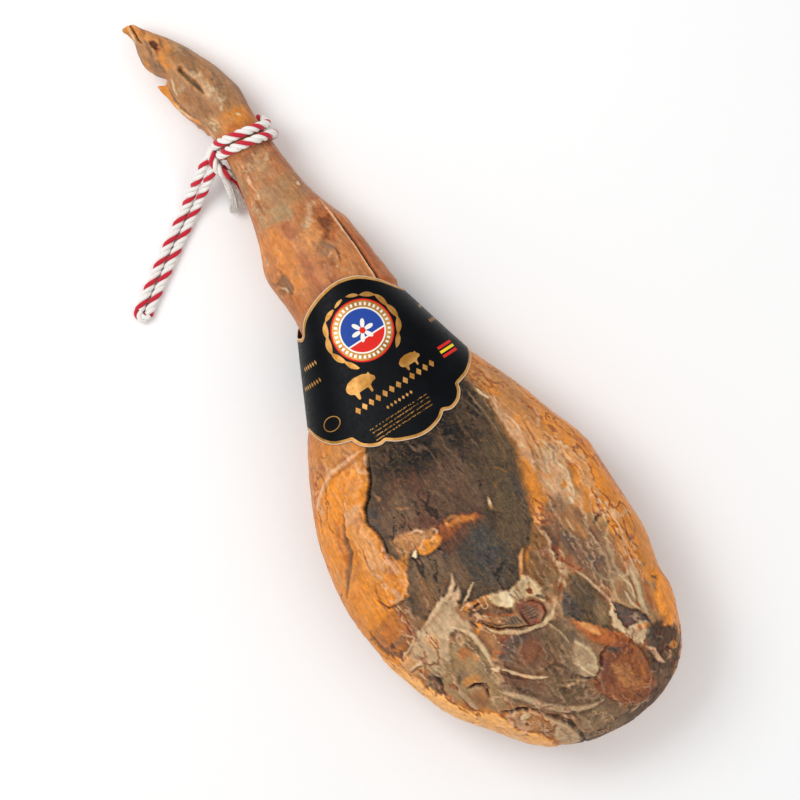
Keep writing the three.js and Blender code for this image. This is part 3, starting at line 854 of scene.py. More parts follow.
    patch(Tone.SLATE, 0.85, 3, (284, 72), (295, 78), (304, 86), (316, 89.5), (321, 88), (316, 78),
        (315, 69), (305, 66), (292, 69), rise=-1.6),
    line(Tone.CHARCOAL, 0.6, 2.2, (286, 72), (297, 79), (305, 86), (318, 89.5), rise=-0.8),
    patch(Tone.CREAM, 0.85, 2, (283, 71), (292, 69), (302, 66), (312, 67.5), (322, 67), (325, 66),
        (316, 61.5), (304, 60), (295, 62), (288, 67), rise=1.4),
    patch(Tone.CREAM, 0.75, 3, (315, 84), (319, 87), (323, 82), (329, 72), (326, 67), (314, 67),
        (313, 74), rise=0.8),
    spot(Tone.FAT, 0.8, 319.5, 83, 2.6, edge=2),
    spot(Tone.FAT_RED, 0.8, 318.5, 77, 2.4, edge=2),
    line(Tone.RUSSET, 0.7, 5, (279, 104), (292, 103), (300, 99), (311, 95), edge=3, rise=0.8),
    spot(Tone.FAT_RED, 0.6, 299.5, 88, 2.6),
    patch(Tone.FAT_BRIGHT, 0.8, 5, (280, 116), (298, 122), (314, 117), (324, 111), (332, 103), (326, 99),
        (312, 100), (300, 106), (290, 114), rise=1.6),
    patch(Tone.TAN, 0.6, 4, (286, 104), (288, 112), (298, 108), (300, 102)),
    spot(Tone.OLIVE, 0.7, 286, 112, 2.2, edge=2, rise=-0.8),
    spot(Tone.SHANK_GREY, 0.6, 291, 108, 3.4),
    # the dark rim of the butt: painted shade where its end curves down, with some of the meat's own marks on
    # it
    patch(Tone.CHARCOAL, 0.85, 6, (318, 92), (330, 99), (334, 108), (343, 105), (352, 99), (362, 90),
        (372, 77), (380, 60), (384, 40), (386, 20), (385, 0), (380, -20), (375, -28), (366, -22),
        (372, -8), (374, 8), (374, 30), (374, 50), (367, 62), (352, 68), (340, 70), (328, 78), (320, 84),
        lean=0.6),
    line(Tone.STRAW, 0.45, 7, (376, 44), (379, 20), (377, -4), (372, -18), edge=7),
    # painted shade, darkest along the very edge of the butt
    line(Tone.INK, 0.6, 5, (383, 30), (385, 8), (383, -12), edge=5),
    patch(Tone.INK, 0.5, 8, (364, 66), (374, 64), (383, 40), (385, 22), (374, 22), (370, 44)),
    patch(Tone.INK, 0.45, 6, (374, 4), (385, 4), (384, -14), (378, -20), (370, -12)),
    spot(Tone.SLATE, 0.6, 371, 2, 4, tall=2, edge=4),
    spot(Tone.FAT_RED, 0.4, 368, 30, 3, tall=2.4, edge=4),
    line(Tone.FASCIA, 0.5, 1.8, (368, 56), (374, 44), (376, 28), rise=0.5),
    patch(Tone.INK, 0.5, 5, (316, 90), (326, 98), (334, 107), (342, 98), (338, 84), (326, 82)),
    line(Tone.SLATE, 0.6, 4, (318, 88), (326, 82), (334, 76), edge=3, rise=0.5),
    patch(Tone.BROWN, 0.45, 6, (356, 62), (358, 78), (368, 78), (376, 62)),
    line(Tone.FAT, 0.7, 6, (343, 97), (346, 94), (350, 93), edge=3, rise=0.8),
    line(Tone.FAT, 0.8, 4, (352, 99), (355, 97), (357, 93), edge=2),
    line(Tone.FAT_PALE, 0.6, 2.4, (348, 90), (353, 88), (355, 83)),
    patch(Tone.MAROON, 0.75, 3, (339, 90), (348, 92), (350, 82), (342, 77), rise=-1.4),
    line(Tone.ROSE, 0.75, 4.6, (333, 73), (342, 77), (350, 77), (356, 80), edge=2.4, rise=1),
    spot(Tone.MAROON, 0.7, 345, 69, 2, edge=1.6),
    line(Tone.RUSSET, 0.6, 3, (328, 76), (334, 71), (338, 70)),
    # the red oval muscle and the fat that leads to it
    patch(Tone.FAT_RED, 0.85, 3, (276, 31), (288, 41), (300, 50), (312, 59), (324, 67), (322, 52),
        (313, 42), (304, 35), (292, 32), rise=1.2),
    line(Tone.FAT_PALE, 0.8, 6, (283, 35), (293, 40), (303, 45), edge=4, rise=0.6),
    patch(Tone.MUSCLE, 0.95, 4, (313, 52), (322, 62), (332, 67), (344, 67), (357, 64), (368, 57),
        (373, 48), (372, 38), (366, 30), (357, 22), (346, 17), (335, 17), (330, 25), (323, 33), (316, 42),
        rise=3.2, rag=0.5, lean=0.4),
    patch(Tone.FAT_PALE, 0.35, 9, (334, 38), (340, 52), (356, 52), (362, 42), (350, 34)),
    patch(Tone.LIVER, 0.8, 6, (316, 58), (326, 56), (330, 42), (334, 26), (322, 32), (314, 44)),
    patch(Tone.LIVER, 0.6, 6, (330, 38), (340, 34), (346, 22), (334, 18)),
    line(Tone.SLATE, 0.5, 3, (322, 36), (328, 32), (334, 24), edge=3),
    line(Tone.RUSSET, 0.5, 1.6, (336, 30), (346, 30), (354, 36)),
    line(Tone.FAT, 0.4, 3, (342, 60), (352, 58), (362, 50), edge=3),
    spot(Tone.SLATE, 0.9, 318.5, 47, 3.4, tall=1.5, edge=2.6, rise=-1.2),
    spot(Tone.MAROON, 0.6, 332, 59, 2.2, edge=2),
    line(Tone.MAROON, 0.75, 2.4, (314, 46), (318, 37), (326, 30), (331, 22), (336, 17), edge=2, rise=-2),
    line(Tone.RUSSET, 0.7, 2.4, (336, 17), (348, 18), (358, 23), (366, 31), edge=2, rise=-1.8),
    line(Tone.RUSSET, 0.6, 2.2, (322, 62), (334, 69), (348, 67), (362, 62), (371, 52), (374, 40),
        edge=2.4, rise=-1.6),
    # the muscle across the butt
    patch(Tone.BROWN, 0.9, 7, (266, 14), (272, 24), (288, 29), (306, 31), (322, 31), (330, 20), (333, 12),
        (346, 15), (360, 22), (374, 30), (376, 5), (374, -12), (366, -16), (350, -16), (340, -28),
        (330, -36), (320, -44), (308, -54), (295, -56), (283, -50), (275, -42), (266, -28), (261, -12),
        (266, 4), rise=1.2, lean=0.7),
    patch(Tone.OLIVE, 0.7, 8, (262, 2), (268, 20), (288, 26), (302, 16), (292, 4), (280, 0), (272, 8)),
    patch(Tone.SLATE, 0.35, 6, (284, 22), (292, 28), (314, 28), (306, 20)),
    patch(Tone.OLIVE, 0.6, 9, (320, 4), (334, 10), (346, 4), (340, -14), (326, -22), (312, -10)),
    patch(Tone.OLIVE, 0.4, 7, (300, -2), (314, 4), (316, -12), (306, -24), (296, -14)),
    patch(Tone.FASCIA, 0.75, 7, (296, 24), (306, 30), (322, 30), (331, 20), (326, 10), (314, 12),
        (304, 16), rise=0.8),
    patch(Tone.BROWN, 0.4, 6, (334, 14), (350, 16), (352, -4), (340, -14), (332, 0)),
    patch(Tone.STRAW, 0.55, 7, (354, 12), (356, -10), (370, -14), (372, 0), (368, 12)),
    line(Tone.CREAM, 0.75, 2, (314, 14), (322, 16), (328, 19), (332, 23), rise=0.8),
    line(Tone.CREAM, 0.6, 2.6, (318, 21), (323, 24), (329, 30)),
    line(Tone.INK, 0.7, 2.2, (321, 7), (327, 11), (331, 17), rise=-1.6),
    spot(Tone.OLIVE, 0.5, 278, 4, 3),
    spot(Tone.LIVER, 0.65, 281, -18, 13, tall=1.2, edge=9),
    patch(Tone.MUSCLE, 0.3, 7, (272, -6), (274, -26), (288, -30), (292, -10)),
    patch(Tone.SLATE, 0.75, 6, (261, -10), (260, -32), (272, -46), (278, -34), (272, -22), (270, -10)),
    patch(Tone.LIVER, 0.7, 6, (280, -40), (298, -30), (308, -34), (302, -46), (284, -54)),
    line(Tone.OCHRE, 0.7, 5, (300, -18), (304, -22), (309, -18), edge=4),
    line(Tone.FASCIA, 0.85, 3, (278, -48), (286, -41), (296, -33), (304, -24), (309, -14), rise=0.9),
    line(Tone.INK, 0.5, 1.8, (281, -50), (291, -43), (301, -34), rise=-0.8),
    line(Tone.FASCIA, 0.8, 5.4, (353, 16), (351, 2), (346, -10), (338, -22), (328, -32), (316, -40),
        (304, -50), (294, -60), edge=3.4, rise=1),
    line(Tone.OLIVE, 0.6, 3, (356, 12), (354, -2), (349, -14), (341, -27), edge=3, rise=-0.6),
    line(Tone.OLIVE, 0.5, 2.4, (337, 12), (332, 0), (322, -12), (310, -26), edge=3, rise=-0.5),
    line(Tone.STRAW, 0.5, 2, (330, 12), (322, 0), (318, -6)),
    line(Tone.OCHRE, 0.4, 3, (306, 2), (300, -6), (292, -10), edge=3),
    line(Tone.FASCIA, 0.5, 1.8, (268, 10), (280, 16), (294, 18), rise=0.4),
    line(Tone.BONE, 0.7, 2.4, (296, 22), (306, 28), (318, 29), (326, 25), edge=2.4, rise=0.9),
    line(Tone.STRAW, 0.6, 3, (322, 10), (328, 4), (326, -4), (320, -10), edge=3, rise=0.6),
    line(Tone.FAT_RED, 0.5, 3, (270, -34), (266, -40), (262, -46), edge=3),
    line(Tone.OLIVE, 0.6, 2.4, (288, 2), (296, 8), (308, 8), (318, 4), edge=3, rise=-0.5),
    line(Tone.CHARCOAL, 0.5, 5, (360, 8), (362, -4), (358, -12), edge=5),
    line(Tone.STRAW, 0.5, 3, (366, 24), (370, 12), (368, 0), edge=4),
    # folds at the end of the butt
    patch(Tone.FASCIA, 0.7, 4, (346, -22), (350, -34), (368, -38), (376, -26), (366, -20)),
    patch(Tone.TAN, 0.7, 5, (318, -44), (322, -62), (346, -50), (350, -36), (336, -34)),
    line(Tone.CHARCOAL, 0.8, 5, (377, -19), (366, -18), (354, -21), (346, -27), (338, -34), (330, -38),
        edge=3, rise=-2.8),
    # painted highlight: a lighter blue-grey line along the crest of the fold
    line(Tone.SLATE, 0.5, 3, (358, -18), (350, -19), (346, -24), rise=0.6),
    line(Tone.MAROON, 0.5, 2, (366, -20), (372, -18)),
    line(Tone.BROWN, 0.5, 2, (352, -30), (362, -28), (370, -30)),
    line(Tone.INK, 0.8, 3.6, (334, -38), (326, -42), (321, -50), (317, -60), (313, -66), edge=2.4,
        rise=-3),
    spot(Tone.BROWN, 0.7, 348, -43, 4),
    patch(Tone.CREAM, 0.8, 2.4, (323, -49), (327, -56), (332, -54), (330, -47), rise=0.8),
    patch(Tone.LIVER, 0.6, 4, (325, -55), (322, -62), (332, -62), (334, -55)),
    # the web of pale tissue in the middle
    patch(Tone.STRAW, 0.8, 5, (236, -50), (236, -112), (252, -110), (262, -112), (272, -100), (298, -88),
        (304, -72), (312, -62), (300, -56), (282, -52), (262, -50)),
    patch(Tone.FASCIA, 0.9, 4, (199, -38), (207, -42), (213, -50), (224, -53), (231, -49), (238, -53),
        (231, -61), (232, -72), (242, -77), (251, -80), (243, -88), (240, -100), (240, -118), (228, -119),
        (224, -106), (218, -97), (212, -92), (213, -82), (207, -72), (201, -60), (203, -50), rise=0.9),
    patch(Tone.CREAM, 0.45, 6, (215, -56), (214, -90), (226, -92), (228, -62)),
    spot(Tone.FAT_PALE, 0.5, 226, -84, 7, edge=6),
    line(Tone.FASCIA, 0.85, 5, (185, -36.5), (194, -41), (200, -48), (203, -60), (208, -72), (213, -86),
        edge=3, rise=1.2),
    line(Tone.CREAM, 0.85, 2, (201, -24.5), (207, -31), (213, -40), (218, -48), rise=0.9),
    line(Tone.FAT_RED, 0.5, 1.6, (186, -40), (190, -48), (194, -52)),
    line(Tone.CREAM, 0.7, 4.4, (226, -62), (234, -55), (242, -50.5), (254, -49), (266, -49.5), (276, -51),
        edge=2.6, rise=1.5),
    line(Tone.CREAM, 0.9, 4, (276, -53), (279, -49), (278, -46), edge=1.6, rise=1.2),
    patch(Tone.OLIVE, 0.55, 4, (243, -53), (244, -60), (254, -61), (262, -55), (254, -52), rise=-1.2),
    line(Tone.OLIVE, 0.65, 4, (235, -59), (232, -64), (231, -70), edge=3, rise=-1.4),
    spot(Tone.FAT, 0.55, 262, -59, 4, tall=0.6),
    spot(Tone.FAT_RED, 0.6, 252, -65, 6.5, tall=0.8, edge=4),
    patch(Tone.SLATE, 0.55, 4, (268, -54), (270, -61), (279, -60), (280, -54)),
    patch(Tone.BROWN, 0.55, 5, (262, -70), (264, -84), (272, -86), (272, -72)),
    line(Tone.OLIVE, 0.6, 3, (266, -80), (270, -84), (274, -85), rise=-0.8),
    patch(Tone.FAT, 0.5, 4, (271, -66), (272, -82), (279, -82), (279, -66)),
    patch(Tone.MUSCLE, 0.6, 5, (284, -70), (284, -82), (302, -80), (302, -70), rise=1.4),
    line(Tone.MAROON, 0.9, 3, (280, -81), (280, -73), (284, -67.5), (290, -67), (296, -68.5), edge=1.8,
        rise=-3),
    line(Tone.INK, 0.6, 2, (283, -64), (286, -66), (290, -64.5), rise=-1),
    line(Tone.FASCIA, 0.6, 4, (276, -88), (288, -85), (301, -83), edge=3, rise=0.6),
    line(Tone.FAT_RED, 0.5, 4, (284, -91), (294, -89), (302, -88), edge=3),
    # the ham's lower edge
    patch(Tone.BROWN, 0.75, 5, (183, -84), (208, -84), (214, -94), (212, -100), (184, -98)),
    patch(Tone.MUSCLE, 0.6, 7, (182, -98), (196, -97), (216, -99), (224, -112), (214, -122), (196, -124),
        (186, -112)),
    line(Tone.BROWN, 0.6, 5, (207, -100), (212, -110), (211, -120), edge=4),
    spot(Tone.MAROON, 0.6, 212, -116, 2.6, rise=-1),
    line(Tone.CREAM, 0.6, 2.2, (213, -93), (219, -100), (223, -110), (226, -118), rise=0.7),
    patch(Tone.CHARCOAL, 0.65, 3, (190, -127), (204, -123), (214, -120), (221, -112), (226, -117),
        (217, -124), (204, -127.5), (194, -130), rise=-1.4),
    patch(Tone.FAT_PALE, 0.7, 5, (222, -106), (228, -121), (244, -119), (240, -104)),
    line(Tone.CREAM, 0.9, 2, (237.5, -100), (236, -107), (237.5, -114), rise=0.8),
    line(Tone.BROWN, 0.6, 2, (239.5, -101), (239, -108), (240, -116), rise=-1),
    patch(Tone.FAT_RED, 0.7, 3, (241, -101), (242, -108), (252, -110), (250, -102)),
    line(Tone.CREAM, 0.7, 2, (244, -110), (248, -108), (252, -108)),
    patch(Tone.CHARCOAL, 0.7, 6, (251, -92), (262, -94), (273, -98), (268, -106), (258, -112),
        (252, -104), rise=-1),
    line(Tone.INK, 0.8, 4, (255, -100), (262, -98), (270, -100), edge=3, rise=-1.6),
    patch(Tone.FASCIA, 0.5, 5, (242, -84), (244, -98), (252, -98), (258, -88)),
    line(Tone.BROWN, 0.4, 3, (243, -80), (252, -79), (262, -82), edge=3),
    # skin turned up along the lower edge of the butt
    patch(Tone.SKIN_GOLD, 1, 3.4, (206, -134), (226, -124), (240, -117), (252, -112), (266, -106),
        (272, -98.5), (290, -94), (301, -86), (310, -72), (317, -64), (334, -61), (350, -48), (358, -43),
        (374, -36), (380, -40), (340, -76), (300, -110), rise=1.6, lean=0),
    line(Tone.FAT_RED, 0.8, 2.4, (268, -98), (276, -97), (286, -95.5), edge=2),
    line(Tone.FAT_RED, 0.45, 2.6, (311, -72), (316, -66), (326, -62), (336, -60), edge=3),
    line(Tone.FAT_RED, 0.4, 3, (352, -46), (360, -42), (369, -38), edge=3),
    # the hip bone, its ball and the slit behind it
    patch(Tone.OCHRE, 0.9, 4, (200, 28), (202, 38), (192, 49), (214, 49), (236, 47), (247, 41), (254, 33),
        (266, 26), (268, 14), (258, 18), (250, 22), (240, 24), (230, 22), (222, 16), (210, 21), rise=-1.2,
        lean=0.6),
    patch(Tone.RUSSET, 0.5, 5, (206, 40), (212, 48), (230, 48), (226, 42)),
    patch(Tone.OLIVE, 0.45, 6, (204, 32), (210, 42), (240, 40), (242, 30), (224, 26)),
    spot(Tone.FAT_RED, 0.7, 246, 37, 5),
    line(Tone.FAT_PALE, 0.8, 3.8, (201, 29), (206, 23), (214, 18), (224, 13.5), edge=2, rise=1.4),
    line(Tone.FAT, 0.5, 3, (203, 36), (208, 28), (218, 22), edge=3),
    line(Tone.RUSSET, 0.5, 1.8, (208, 46), (220, 38), (234, 27)),
    line(Tone.FASCIA, 0.7, 1.8, (240, 45), (243, 40), (247, 35)),
    patch(Tone.BONE, 0.95, 4, (222, 12), (226, 18), (234, 22), (244, 24), (251, 21), (246, 17), (241, 11),
        (240, 3), (241, -3), (240, -12), (234, -18), (228, -21), (221, -22), (219, -16), (222, -8),
        (226, -2), (226, 5), rise=2.2, rag=0.8),
    patch(Tone.BONE_WHITE, 0.8, 6, (226, -2), (236, 0), (239, -8), (232, -16), (224, -12), rise=0.6),
    patch(Tone.STRAW, 0.4, 5, (222, 6), (228, 12), (240, 8), (240, 2), (230, 0)),
    line(Tone.BROWN, 0.6, 1.4, (229, 2), (235, 1.4), (241, 2.4), rise=-0.8),
    spot(Tone.RUSSET, 0.85, 235, 13, 3, tall=0.75, edge=2, rise=-1.8),
    line(Tone.CHARCOAL, 0.75, 3.4, (242, 15), (246, 20), (250, 21), rise=-1.6),
    line(Tone.OLIVE, 0.6, 3, (238, 30), (244, 27), (250, 25), edge=3),
    patch(Tone.ROSE, 0.6, 4, (250, 20), (254, 30), (264, 28), (270, 18), (266, 8), (264, 16)),
    spot(Tone.FAT_RED, 0.4, 253, 26, 3),
    patch(Tone.LIVER, 0.95, 2, (242, -3), (241, 6), (246, 13.5), (254, 16.5), (261, 14), (265, 7),
        (265, 0), (262, -3.5), rise=3.6, rag=0.4),
    patch(Tone.BROWN, 0.5, 6, (246, 0), (248, 10), (258, 10), (260, 0), rise=0.8),
    *(line(Tone.INK, 0.6, 1.5, (245.5 + 3 * k, -2), (246 + 3 * k, 5), (247 + 2.4 * k, 12), edge=1.4,
        rise=-0.8, rag=0.5) for k in range(5)),
    line(Tone.RUSSET, 0.7, 2.4, (244, 6), (250, 14), (258, 13), (262, 5), edge=2),
    line(Tone.MAROON, 0.85, 2, (241.5, 3), (245, 11.5), (253.5, 16.5), (261, 15), (266, 7), edge=1.6,
        rise=-2.2, rag=0.3),
    line(Tone.INK, 0.8, 1.8, (246, -3), (254, -3.6), (262, -3), edge=1.4, rise=-2, rag=0.3),
    line(Tone.BONE, 0.9, 3.6, (258, 27), (265, 20), (267.6, 9), (265.5, 0), (262, -7), edge=1.8, rise=1.6,
        rag=0.4),
    patch(Tone.SHANK_GREY, 0.8, 3, (245, -7), (261, -5), (258, -17), (251, -25), (243, -21)),
    patch(Tone.SLATE, 0.55, 4, (247, -8), (259, -7), (255, -17), (249, -22)),
    *(line(Tone.CHARCOAL, 0.7, 1.3, (247.5 - k, -8 - 3.2 * k), (254 - k, -8.6 - 3.2 * k),
        (260 - 1.6 * k, -8 - 3.2 * k), edge=1, rise=-0.6, rag=0.8) for k in range(5)),
    patch(Tone.CHARCOAL, 0.75, 4, (240, -8), (245, -8), (246, -16), (240, -24), (232, -34), (226, -45),
        (219, -44), (228, -26), (236, -16), rise=-1.4),
    line(Tone.FAT_RED, 0.8, 2.4, (247, -6), (245, -14), (240, -20)),
    line(Tone.RUSSET, 0.7, 3, (240, -22), (236, -27), (231, -34)),
    line(Tone.FASCIA, 0.6, 1.6, (238, -26), (234, -32), (230, -38)),
    line(Tone.FASCIA, 0.6, 3, (243, -24), (246, -25)),
    line(Tone.MAROON, 0.9, 3, (221.5, -29), (221.5, -35), (220.5, -42), rise=-2),
    line(Tone.MAROON, 0.6, 2, (217, -33), (214, -40), (216, -49), rise=-1),
    line(Tone.LIVER, 0.5, 2, (210, -28), (213, -34), (211, -38)),
    line(Tone.INK, 0.85, 1.8, (264, 2), (260, -10), (255, -20), (248, -30), (239, -38), (230, -47),
        edge=1.4, rise=-3, rag=0.3),
    line(Tone.CHARCOAL, 0.7, 1.6, (252, -18), (247, -27), (240, -33), (233, -41), edge=1.4, rise=-1.4),
    line(Tone.FASCIA, 0.8, 3.4, (267, 2), (264, -10), (258, -21), (251, -31), (242, -38), edge=1.8,
        rise=1.4, rag=0.4),
    spot(Tone.FAT_BRIGHT, 0.9, 240.5, -42.5, 2.8, tall=1.2, edge=2),
    line(Tone.INK, 0.6, 1.4, (230, -48), (236, -44.5), (242, -42), rise=-1),
    line(Tone.FAT, 0.6, 3, (266, -44), (269, -47), (272, -42)),
)


class Join(Enum):
    """How a block changes the foot."""

    ADD = "UNION"
    CUT = "DIFFERENCE"


@dataclass(frozen=True)
class Block:
    """An upright block over an outline of the plan that shapes the foot, in millimetres."""

    name: str
    join: Join
    low: float
    high: float
    outline: tuple[Point, ...]

    def build(self) -> Piece:
        """Builds the block.

        Returns:
            The block, closed, with its faces pointing out.
        """
        ring = np.array(self.outline) * MM
        if np.cross(ring[1] - ring[0], ring[2] - ring[1]).sum() < 0:
            ring = ring[::-1]
        count = len(ring)
        points = np.vstack([np.column_stack([ring, np.full(count, z * MM)]) for z in (self.low, self.high)])
        sides = [(i, (i + 1) % count, count + (i + 1) % count, count + i) for i in range(count)]
        ends = [tuple(range(count))[::-1], tuple(range(count, 2 * count))]
        return new_object(self.name, points, [*sides, *ends])


FOOT_BLOCKS = (
    Block("flap", Join.ADD, 13, 33, (
        (-324, -20.6), (-320.5, -15), (-318, -6), (-262, -1), (-262, -6), (-270, -7), (-273, -9.6),
        (-277, -9.6), (-283, -12.4), (-290, -14.6), (-300, -17.2), (-310, -18.2), (-318, -20.2))),
    Block("toe", Join.ADD, 22, 32.5, (
        (-383.6, -14.2), (-381, -13.4), (-382.4, -11.6), (-380.4, -8.6), (-376, -5), (-366, -3),
        (-366, -15.6), (-371, -16.6), (-377, -17.6), (-380.4, -19.8), (-383.4, -19.4))),
    Block("notch", Join.CUT, -5, 70, (
        (-322.6, -9.4), (-326, -11), (-331, -16), (-334, -30), (-324.6, -30), (-323.8, -20.6), (-321, -16),
        (-319.6, -13.5))),
)


@dataclass
class Ham:
    """The whole leg: foot, hock, shank, thigh and butt, grown as one piece."""

    collar: "Collar"
    studio: "Studio"
    name: str = "ham_body"
    node: str = "ham"
    blocks: tuple[Block, ...] = FOOT_BLOCKS
    cell: float = 1.2 * MM
    draft_cell: float = 2.6 * MM
    smoothing: int = 60
    soft_steps: int = 8
    crispness: float = 0.5
    # strength of the painted shade and painted highlight that follow the carved relief
    hollow_shade: float = 0.45
    edges: Array = field(init=False, repr=False)

    def build(self) -> Piece:
        """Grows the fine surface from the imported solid, then carves and paints it.

        Returns:
            The ham.
        """
        body = self.grow()
        mesh = body.data
        rest = self.relax(mesh)
        normals = vectors(mesh.vertex_normals, "vector")
        painter = Painter(rest, normals[:, 2], self.studio)
        painter.lay_all()
        shaped = self.collar.press(rest + normals * (painter.rise * MM)[:, None])
        shaped[:, 2] = np.maximum(shaped[:, 2], 0)
        mesh.vertices.foreach_set("co", shaped.astype(np.float32).ravel())
        mesh.update()
        store(mesh, "tint", self.crisp(painter))
        store(mesh, "lean", painter.lean)
        mesh.shade_smooth()
        mesh.materials.append(CuredMeat().make())
        return finish_piece(body, "cured_meat", self.node)

    def grow(self) -> Piece:
        """Makes a fine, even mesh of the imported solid, with the foot's notch, toe and flap.

        Returns:
            The mesh's object.
        """
        welded = bmesh.new()
        welded.from_mesh(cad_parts[self.node].data)
        bmesh.ops.remove_doubles(welded, verts=welded.verts, dist=0.001 * MM)
        draft = bpy.data.objects.new(self.name, bpy.data.meshes.new(self.name))
        welded.to_mesh(draft.data)
        welded.free()
        bpy.context.scene.collection.objects.link(draft)
        rounding = draft.modifiers.new("rounding", "SUBSURF")
        rounding.levels = rounding.render_levels = 2
        helpers = [block.build() for block in self.blocks]
        for helper, block in zip(helpers, self.blocks):
            cut = draft.modifiers.new(block.name, "BOOLEAN")
            cut.object, cut.operation, cut.solver = helper, block.join.value, "EXACT"
        remesh = draft.modifiers.new("remesh", "REMESH")
        remesh.mode = "VOXEL"
        remesh.voxel_size = self.cell
        graph = bpy.context.evaluated_depsgraph_get()
        fine = bpy.data.meshes.new_from_object(draft.evaluated_get(graph))
        draft.modifiers.clear()
        draft.data = fine
        fine.name = self.name
        for helper in helpers:
            bpy.data.objects.remove(helper)
        return draft

    def relax(self, mesh: bpy.types.Mesh) -> Array:
        """Smooths the steps out of the surface, and puts the points back in the mesh.

        Args:
            mesh: The ham's mesh.

        Returns:
            The smoothed points, in metres.
        """
        points = vectors(mesh.vertices, "co")
        edges = np.empty(len(mesh.edges) * 2, np.int32)
        mesh.edges.foreach_get("vertices", edges)
        self.edges = edges.reshape(-1, 2).T
        for step in range(self.smoothing):
            points = self.blend(points, (0.5, -0.52)[step % 2])
        mesh.vertices.foreach_set("co", points.astype(np.float32).ravel())
        mesh.update()
        return points

    def blend(self, values: Array, share: float) -> Array:
        """Moves the values at the surface's points towards their neighbours' mean.

        Args:
            values: Values of each point, one row a point.
            share: How far they move, from 0 to 1.

        Returns:
            The values, moved.
        """
        a, b = self.edges
        count = np.bincount(self.edges.ravel(), minlength=len(values))[:, None]
        total = np.column_stack([
            np.bincount(a, column[b], len(values)) + np.bincount(b, column[a], len(values))
            for column in values.T
        ])
        return values + share * (total / count - values)

    def crisp(self, painter: "Painter") -> Array:
        """The painted colours with sharper edges, with painted shade in each hollow and painted highlight on
        ridges.

        Args:
            painter: The painter, with its work done.

        Returns:
            The colours.
        """
        sharp = np.column_stack([painter.colour, painter.rise])
        soft = sharp
        for _ in range(self.soft_steps):
            soft = self.blend(soft, 0.8)
        away = sharp - soft
        # painted shade where the carved surface dips, painted highlight where it rises
        relief_shade = np.clip(away[:, 3:], -0.7, 0.5)
        return np.clip(painter.colour + self.crispness * away[:, :3], 0, 1) * (1 + self.hollow_shade * relief_shade)


